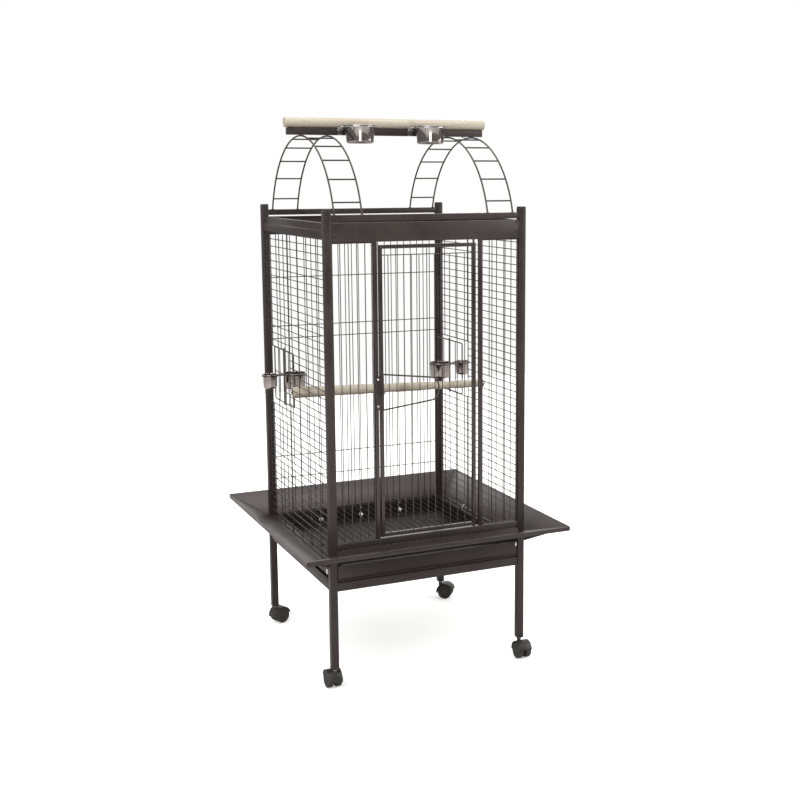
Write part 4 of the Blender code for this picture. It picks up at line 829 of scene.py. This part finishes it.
archLook = {"halfSpan": 0.2970, "rise": 0.2900, "centre": 1.2645, "wire": 0.0025, "offset": 0.2300,
            "width": 0.0800, "rung": 0.0022, "spacing": 0.0705, "rungs": 5, "steps": 64, "stride": 0.001,
            "foot": ((0.0, 0.0), (0.0046, 0.0), (0.0041, 0.0010), (0.0026, 0.0022), (0.0, 0.0022))}


def archPoint(turn):
    up = archLook["centre"] + archLook["rise"] * math.cos(turn)
    return xyz(0, archLook["halfSpan"] * math.sin(turn), up)


def rungTurns():
    # Walks down the arch in short strides and notes the turn at each rung
    found = []
    turn, walked = 0.0, 0.0
    while len(found) < archLook["rungs"]:
        walked += (archPoint(turn + archLook["stride"]) - archPoint(turn)).length
        turn += archLook["stride"]
        if walked >= archLook["spacing"] * (len(found) + 1):
            found.append(turn)
    return found


def makeLadders():
    look = archLook
    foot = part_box("front_top_rail")[1].z
    limit = math.acos((foot - look["centre"]) / look["rise"])
    turns = [-limit + 2 * limit * i / look["steps"] for i in range(look["steps"] + 1)]
    half = xyz(look["width"] / 2, 0, 0)
    for side, sign in sides.items():
        centre = xyz(sign * look["offset"], 0, 0)
        bm = bmesh.new()
        for edge in (-1, 1):
            across = centre + half * edge
            addWire(bm, [archPoint(turn) + across for turn in turns], look["wire"])
            for end in (-limit, limit):
                addTurned(bm, look["foot"], Matrix.Translation(archPoint(end) + across), roundSteps["pin"])
        for turn in rungTurns():
            for end in (-turn, turn):
                place = archPoint(end) + centre
                addBar(bm, place - half, place + half, look["rung"])
        finishPiece(bm, side + "_ladder_wires", wireCoat, "cage", (side + "_ladder",))


beamLook = {"edge": 0.0016, "boltX": (-0.262, 0.248), "bolt": 0.0048, "boltSink": 0.0012,
            "nut": (0.0042, 0.0036), "chamfer": 0.0016, "rings": 24}


def makeBeamAndPerch():
    look = beamLook
    softCopy("perch_beam", coat, "cage", look["edge"], 3)
    low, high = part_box("top_perch")
    y, z = (low.y + high.y) / 2, (low.z + high.z) / 2
    radius, length, chamfer = (high.z - low.z) / 2, high.x - low.x, look["chamfer"]
    step = (length - 2 * chamfer) / look["rings"]
    profile = [(0.0, 0.0), (radius - chamfer, 0.0)]
    profile += [(radius, chamfer + step * i) for i in range(look["rings"] + 1)]
    profile += [(radius - chamfer, length), (0.0, length)]
    dowel, bolts = bmesh.new(), bmesh.new()
    addTurned(dowel, profile, facing((low.x, y, z), (1, 0, 0)), roundSteps["dowel"])
    finishPiece(dowel, "top_perch_dowel", wood, "cage", ("top_perch",))
    for x in look["boltX"]:
        addScrew(bolts, (x, y, high.z - look["boltSink"]), (0, 0, 1), look["bolt"])
        addHexHead(bolts, (x, y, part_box("perch_beam")[0].z), (0, 0, -1), *look["nut"])
    finishPiece(bolts, "perch_bolts", steel, "cage")


# Cups and what holds them

cupShape = {"wall": 0.0007, "lip": 0.0045, "lipHeight": 0.0022, "neck": (0.0006, 0.0012),
            "mouth": (0.0016, 0.0002), "foot": 0.94, "footRound": 0.0080, "footRise": 0.0006,
            "dish": (1.6, 1.2), "steps": 72}  # foot is a share of the radius, dish of the foot's rounding


def makeCups():
    # Spun cups: dished foot, straight wall, rolled lip
    look = cupShape
    wall, bend, roll, rise = look["wall"], look["footRound"], look["lipHeight"] / 2, look["footRise"]
    for node in ("left_top_cup", "right_top_cup", "left_cup_inside", "left_cup_outside", "right_cup_inside",
                 "right_cup_outside"):
        low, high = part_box(node)
        centre = middle(node)
        height, lip = high.z - low.z, (high.x - low.x) / 2
        radius = lip - look["lip"]
        foot = radius * look["foot"]
        top = height - look["lipHeight"]
        profile = [(0.0, rise), (foot - bend * look["dish"][0], rise), (foot - bend * look["dish"][1], 0.0)]
        profile += arc(foot - bend, bend, bend, 0, 90, 6)
        profile += [(radius, top - look["neck"][1]), (radius + look["neck"][0], top)]
        profile += arc(lip - roll, top + roll, roll, 0, 180, 8)
        profile += [(radius - wall + look["mouth"][0], height - look["mouth"][1]),
                    (radius - wall, height - look["mouth"][0])]
        profile += arc(foot - bend, bend, bend - wall, 90, 0, 6) + [(0.0, wall + rise)]
        bm = bmesh.new()
        addTurned(bm, profile, Matrix.Translation((centre.x, centre.y, low.z)), look["steps"])
        finish = makeSteel(node + "Steel", cupLook if "top" in node else feederCupLook, centre)
        finishPiece(bm, node + "_steel", finish, node, (node,))


ringLook = {"gap": 0.0003, "steps": 48}


def cupRing(cup, wire):
    # Centre, radius and height of the wire ring just under a cup's lip
    low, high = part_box(cup)
    radius = (high.x - low.x) / 2 - cupShape["lip"] + wire + ringLook["gap"]
    return middle(cup), radius, high.z - cupShape["lipHeight"] - wire - ringLook["gap"]


def addRing(bm, centre, radius, level, wire):
    points = []
    for i in range(ringLook["steps"]):
        turn = 2 * math.pi * i / ringLook["steps"]
        points.append((centre.x + radius * math.cos(turn), centre.y + radius * math.sin(turn), level))
    addWire(bm, points, wire, closed=True)


# Arm points are (short of the arm's turn, in front of the beam); knobShape and wing are shares
holderLook = {"wire": 0.0018, "gap": 0.0003, "bracket": 0.042, "plateWidth": 0.014, "plateRise": 0.003,
              "plateFoot": 0.0015, "plate": 0.003, "plateEdge": 0.0008, "armShare": 0.62,
              "arm": ((0.006, 0.0032), (0.002, 0.0045), (0.0, 0.0085)), "knob": 0.0095, "knobLength": 0.012,
              "knobShape": ((0.0, 0.72), (0.45, 0.72), (0.62, 0.60), (0.66, 0.2), (0.72, 0.0), (0.0, 0.0)),
              "wing": (1.25, 0.22), "wingEnds": (0.12, 0.98), "wingEdge": 0.18, "wingTurn": 35}


def makeTopHolders():
    look = holderLook
    wire = look["wire"]
    size, length = look["knob"], look["knobLength"]
    beamLow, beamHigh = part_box("perch_beam")
    face = beamLow.y - look["gap"]
    for side in sides:
        centre, radius, level = cupRing(side + "_top_cup", wire)
        plateX = centre.x - look["bracket"]
        half = look["plateWidth"] / 2
        reach = radius * look["armShare"]
        armX = centre.x - reach
        arm = [(plateX, face - look["arm"][0][1])]
        arm += [(armX - short, face - out) for short, out in look["arm"]]
        arm.append((armX, centre.y + math.sqrt(radius ** 2 - reach ** 2)))
        holder, knob, wings = bmesh.new(), bmesh.new(), bmesh.new()
        addRing(holder, centre, radius, level, wire)
        addBlock(holder, (plateX - half, face - look["plate"], beamLow.z + look["plateFoot"]),
                 (plateX + half, face, beamHigh.z + look["plateRise"]), look["plateEdge"])
        addWire(holder, [(x, y, level) for x, y in arm], wire)
        finishPiece(holder, side + "_top_cup_ring", steel, "cage", (side + "_top_cup_holder",))
        place = facing((plateX, face - look["plate"], (beamLow.z + beamHigh.z) / 2), (0, -1, 0))
        addTurned(knob, scaled(look["knobShape"], size, length), place, roundSteps["knob"])
        long, thick = (size * share for share in look["wing"])
        bottom, top = (length * share for share in look["wingEnds"])
        addBlock(wings, (-long, -thick, bottom), (long, thick, top), size * look["wingEdge"], 3)
        wings.transform(place @ Matrix.Rotation(math.radians(look["wingTurn"]), 4, "Z"))
        addCopy(knob, wings)
        finishPiece(knob, side + "_top_cup_wing", plastic, "cage")


feederLook = {"bar": 0.0020, "corner": 0.006, "margin": 0.0045, "wire": 0.0014, "spacing": 0.045,
              "pivot": 0.0030, "ring": 0.0018, "stub": 0.0098, "stubShare": 0.8}


def makeFeeders():
    look = feederLook
    bar, bend, wire, ring, apart = look["bar"], look["corner"], look["wire"], look["ring"], look["stub"]
    for side in sides:
        node = side + "_feeder"
        low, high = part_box(node)
        openBottom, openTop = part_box(side + "_grille_lower")[1].z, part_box(side + "_grille_upper")[0].z
        x, y = (low.x + high.x) / 2, (low.y + high.y) / 2
        bottom, top = openBottom + look["margin"] + bar, openTop - look["margin"] - bar
        half = (high.y - low.y) / 2 - bar
        bm = bmesh.new()
        outline = []
        for cornerY, cornerZ, start in ((half - bend, top - bend, 90), (bend - half, top - bend, 180),
                                        (bend - half, bottom + bend, 270), (half - bend, bottom + bend, 360)):
            outline += arc(y + cornerY, cornerZ, bend, start, start + 90, 4)
        addWire(bm, [(x, along, up) for along, up in outline], bar, closed=True)
        level = cupRing(side + "_cup_inside", ring)[2]
        addBar(bm, (x, y - half, level), (x, y + half, level), wire, "wire")
        for spot in (y - look["spacing"], y + look["spacing"]):
            addBar(bm, (x, spot, bottom), (x, spot, top), wire, "wire")
        addBar(bm, (x, y, openBottom), (x, y, openTop), look["pivot"], "pin")
        for place in ("inside", "outside"):
            centre, radius, _ = cupRing(side + "_cup_" + place, ring)
            addRing(bm, centre, radius, level, ring)
            reach = math.copysign(math.sqrt(radius ** 2 - apart ** 2), centre.x - x)
            for spot in (y - apart, y + apart):
                addBar(bm, (x, spot, level), (centre.x - reach, spot, level), ring * look["stubShare"])
        finishPiece(bm, node + "_frame", wireCoat, node, (node,))


# Perch inside the cage; each wobble is (size, rate, shift)

insideLook = {"leftY": 0.0570, "rightY": -0.0300, "leftRadius": 0.0170, "rightRadius": 0.0115,
              "chamfer": 0.002, "rings": 40, "wobbles": ((0.0005, 23.0, 0.0), (0.0004, 57.0, 1.0)),
              "slim": 0.0006, "washerGap": 0.0070, "washer": (0.013, 0.0014), "head": (0.0062, 0.0050),
              "bolt": 0.0030, "boltReach": 0.0110}


def makeInsidePerch():
    look = insideLook
    low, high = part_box("inside_perch")
    z = (low.z + high.z) / 2
    start, end = xyz(low.x, look["leftY"], z), xyz(high.x, look["rightY"], z)
    length = (end - start).length
    first, last, chamfer = look["leftRadius"], look["rightRadius"], look["chamfer"]
    profile = [(0.0, 0.0), (first - chamfer, 0.0)]
    for i in range(look["rings"] + 1):
        share = i / look["rings"]
        wobble = sum(size * math.sin(share * rate + shift) for size, rate, shift in look["wobbles"])
        profile.append((first + (last - first) * share + wobble - look["slim"],
                        chamfer + (length - 2 * chamfer) * share))
    profile += [(last - chamfer, length), (0.0, length)]
    branch, bolts = bmesh.new(), bmesh.new()
    addTurned(branch, profile, facing(start, end - start), roundSteps["dowel"])
    finishPiece(branch, "inside_perch_branch", wood, "cage", ("inside_perch",))
    for place, sign in ((start, -1), (end, 1)):
        outward = (sign, 0, 0)
        washer = place + xyz(sign * look["washerGap"], 0, 0)
        addTurned(bolts, disc(*look["washer"]), facing(washer, outward), roundSteps["disc"])
        addHexHead(bolts, washer + xyz(sign * look["washer"][1], 0, 0), outward, *look["head"])
        addBar(bolts, place, washer + xyz(sign * look["boltReach"], 0, 0), look["bolt"], "pin")
    finishPiece(bolts, "inside_perch_bolts", steel, "cage")


# Tray and grate

floorShape = {"fascia": 0.0130, "front": 0.0015, "wireDepth": 0.0066, "bays": 3, "lip": 0.0018,
              "lipEdge": 0.0006}


def makeTray():
    look = floorShape
    # Behind the fascia the tray's inside is painted darker, as shade
    trayCoat = makeCoat("trayCoat", trayLook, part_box("tray")[0].y + look["fascia"])
    softCopy("tray", trayCoat, "tray", *foldLook["sheet"])
    low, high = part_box("floor_grate")
    front = low.y + look["front"]
    step = (high.y - front) / look["bays"]
    grate, lip = bmesh.new(), bmesh.new()
    addPanel(grate, low.z + look["wireDepth"] / 2, 1, 0, xyz(low.x, front, low.z),
             xyz(high.x, high.y, low.z + look["wireDepth"]), evenly(low.x, high.x, wireLook["pitch"]),
             [front + step * i for i in range(1, look["bays"])], 1)
    # The grate's wires carry a painted shade colour, darker than the rest of the coat
    finishPiece(grate, "floor_grate_wires", grateCoat, "grate", ("floor_grate",))
    # The grate's front bar is painted near black as the shadow under the skirt's front flap
    addBlock(lip, low, xyz(high.x, low.y + look["lip"], high.z), look["lipEdge"])
    finishPiece(lip, "floor_grate_lip", paintedShadeBarCoat, "grate")


# Castors: hubFace and groove are (share of the hub or wheel, depth), crown and backRound are shares of the rim

castorLook = {"hoodEdge": 0.0008, "rim": 0.0022, "hub": 0.0085, "steps": 56, "near": 0.0043, "axle": 0.0030,
              "hubFace": ((0.0, 0.0006), (0.6, 0.0006), (1.0, 0.0012)), "hubStep": (0.0012, 0.0026),
              "groove": ((0.66, 0.0030), (0.72, 0.0012)), "crown": 1.7, "backRound": (0.4, 0.3),
              "collar": ((0.0, 0.0), (0.0078, 0.0), (0.0078, 0.0012), (0.0062, 0.0020), (0.0, 0.0020)),
              "collarDrop": 0.0023}


def wheelProfile(radius, half):
    # One wheel's outline, from its hub cap over the rim to its back
    look = castorLook
    rim, hub, near = look["rim"], look["hub"], look["near"]
    backAcross, backUp = (rim * share for share in look["backRound"])
    profile = [(hub * share, half - depth) for share, depth in look["hubFace"]]
    profile.append((hub + look["hubStep"][0], half - look["hubStep"][1]))
    profile += [(radius * share, half - depth) for share, depth in look["groove"]]
    profile.append((radius - rim * look["crown"], half))
    profile += arc(radius - rim, half - rim, rim, 180, 90, 5)[1:]
    profile += [(radius, near + rim), (radius - backAcross, near + backUp), (radius - rim, near), (0.0, near)]
    return profile


def makeCastors():
    look = castorLook
    joints = {joint["name"]: joint for joint in frame["joints"]}
    for corner in corners:
        node = corner + "_castor_wheels"
        swivel = corner + "_castor_swivel"
        spin = joints[corner + "_castor_spin"]
        hub, axle = Vector(spin["pos_m"]), Vector(spin["axis"])
        half = max((Vector(vert.co) - hub).dot(axle) for vert in frame["nodes"][node].data.vertices)
        wheels, collar = bmesh.new(), bmesh.new()
        for sign in (-1, 1):
            addTurned(wheels, wheelProfile(hub.z, half), facing(hub, axle * sign), look["steps"])
        addBar(wheels, hub - axle * look["near"], hub + axle * look["near"], look["axle"], "pin")
        finishPiece(wheels, node + "_tread", hubPlastic, node, (node,))
        softCopy(corner + "_castor_hood", plastic, swivel, look["hoodEdge"])
        foot = middle(corner + "_post")
        foot.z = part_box(corner + "_post")[0].z - look["collarDrop"]
        addTurned(collar, look["collar"], Matrix.Translation(foot), roundSteps["knob"])
        finishPiece(collar, corner + "_castor_collar", steel, swivel)


# Screws, clips, tabs and spacers that hold it together

headerScrewLook = {"radius": 0.0042, "in": 0.008, "drop": 0.0055, "rise": 0.0200, "sideRise": 0.0140}


def makeHeaderScrews():
    look = headerScrewLook
    low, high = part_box("front_header")
    bm = bmesh.new()
    for sign in (-1, 1):
        x = sign * (high.x - look["in"])
        for z in (high.z - look["drop"], low.z + look["rise"]):
            addScrew(bm, (x, low.y, z), (0, -1, 0), look["radius"])
            addScrew(bm, (x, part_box("back_header")[1].y, z), (0, 1, 0), look["radius"])
    for side, sign in sides.items():
        sideLow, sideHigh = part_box(side + "_header")
        face = sideLow.x if sign < 0 else sideHigh.x
        for end in (-1, 1):
            addScrew(bm, (face, end * (sideHigh.y - look["in"]), sideLow.z + look["sideRise"]), (sign, 0, 0),
                     look["radius"])
    finishPiece(bm, "header_screws", coat, "cage")


# Hex heads with tails and small screws on the tray's back wall, and a pin on its fascia
clipLook = {"x": (-0.136, 0.002, 0.140), "wall": 0.0015, "level": 0.0125, "head": (0.0050, 0.0040),
            "tailOut": 0.0030, "tailEnd": 0.0050, "tail": 0.0030, "tailTip": 0.0016, "screw": 0.0030,
            "screwDrop": 0.0042, "pin": 0.0021, "pinIn": 0.0080, "pinOut": 0.0012,
            "pinDrops": (0.0105, 0.0004)}


def makeTrayClips():
    look = clipLook
    low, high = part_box("tray")
    wall, level = high.y - look["wall"], low.z + look["level"]
    tailY = wall - look["tailOut"]
    bm = bmesh.new()
    for x in look["x"]:
        addHexHead(bm, (x, wall, level), (0, -1, 0), *look["head"])
        addBar(bm, (x, tailY, level), (x, tailY, low.z + look["tailEnd"]), look["tail"], "pin", look["tailTip"])
        addScrew(bm, (x, wall, high.z - look["screwDrop"]), (0, -1, 0), look["screw"])
    pin = [(high.x - look["pinIn"], low.y - look["pinOut"], high.z - drop) for drop in look["pinDrops"]]
    addBar(bm, *pin, look["pin"], "pin")
    finishPiece(bm, "tray_clips", zinc, "tray")


# Hook points are (Y, drop under the grate's top)
hookLook = {"in": 0.0030, "wire": 0.0017,
            "points": ((0.078, 0.0190), (0.074, 0.0140), (0.068, 0.0060), (0.062, 0.0034))}


def makeGrateHook():
    look = hookLook
    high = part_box("floor_grate")[1]
    bm = bmesh.new()
    addWire(bm, [(high.x - look["in"], y, high.z - drop) for y, drop in look["points"]], look["wire"])
    finishPiece(bm, "grate_hook", zinc, "grate")


tabLook = {"y": 0.2690, "half": 0.0045, "ends": (0.3330, 0.3480), "out": 0.0016, "edge": 0.0006}


def makeSkirtTabs():
    look = tabLook
    bm = bmesh.new()
    for side, sign in sides.items():
        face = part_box(side + "_bottom_rail")[0 if sign < 0 else 1].x
        near, far = sorted((face, face + sign * look["out"]))
        for y in (-look["y"], look["y"]):
            addBlock(bm, (near, y - look["half"], look["ends"][0]), (far, y + look["half"], look["ends"][1]),
                     look["edge"])
    finishPiece(bm, "skirt_tabs", zinc, "cage")


spacerLook = {"inset": 0.0006, "width": 0.0120, "front": 0.0180, "back": 0.0060, "lap": 0.0004,
              "edge": 0.0004}


def makeRunnerSpacers():
    look = spacerLook
    for side, sign in sides.items():
        low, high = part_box(side + "_bottom_rail")
        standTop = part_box(side + "_stand_rail")[1].z
        outer = (low.x if sign < 0 else high.x) - sign * look["inset"]
        near, far = sorted((outer, outer - sign * look["width"]))
        bm = bmesh.new()
        addBlock(bm, (near, low.y + look["front"], standTop - look["lap"]),
                 (far, high.y - look["back"], low.z + look["lap"]), look["edge"])
        finishPiece(bm, side + "_runner_spacer", coat, "cage")


makePosts()
makeBands()
print("frame dressed")
makeSidePanels()
makeBackPanel()
makeTopPanel()
makeFrontPanels()
print("wire panels welded")
makeDoor()
makeLatch()
print("door hung")
makeLadders()
makeBeamAndPerch()
makeCups()
makeTopHolders()
makeFeeders()
makeInsidePerch()
print("perches and feeders set")
makeTray()
makeCastors()
makeHeaderScrews()
makeTrayClips()
makeGrateHook()
makeSkirtTabs()
makeRunnerSpacers()
print("tray, castors and fasteners done")
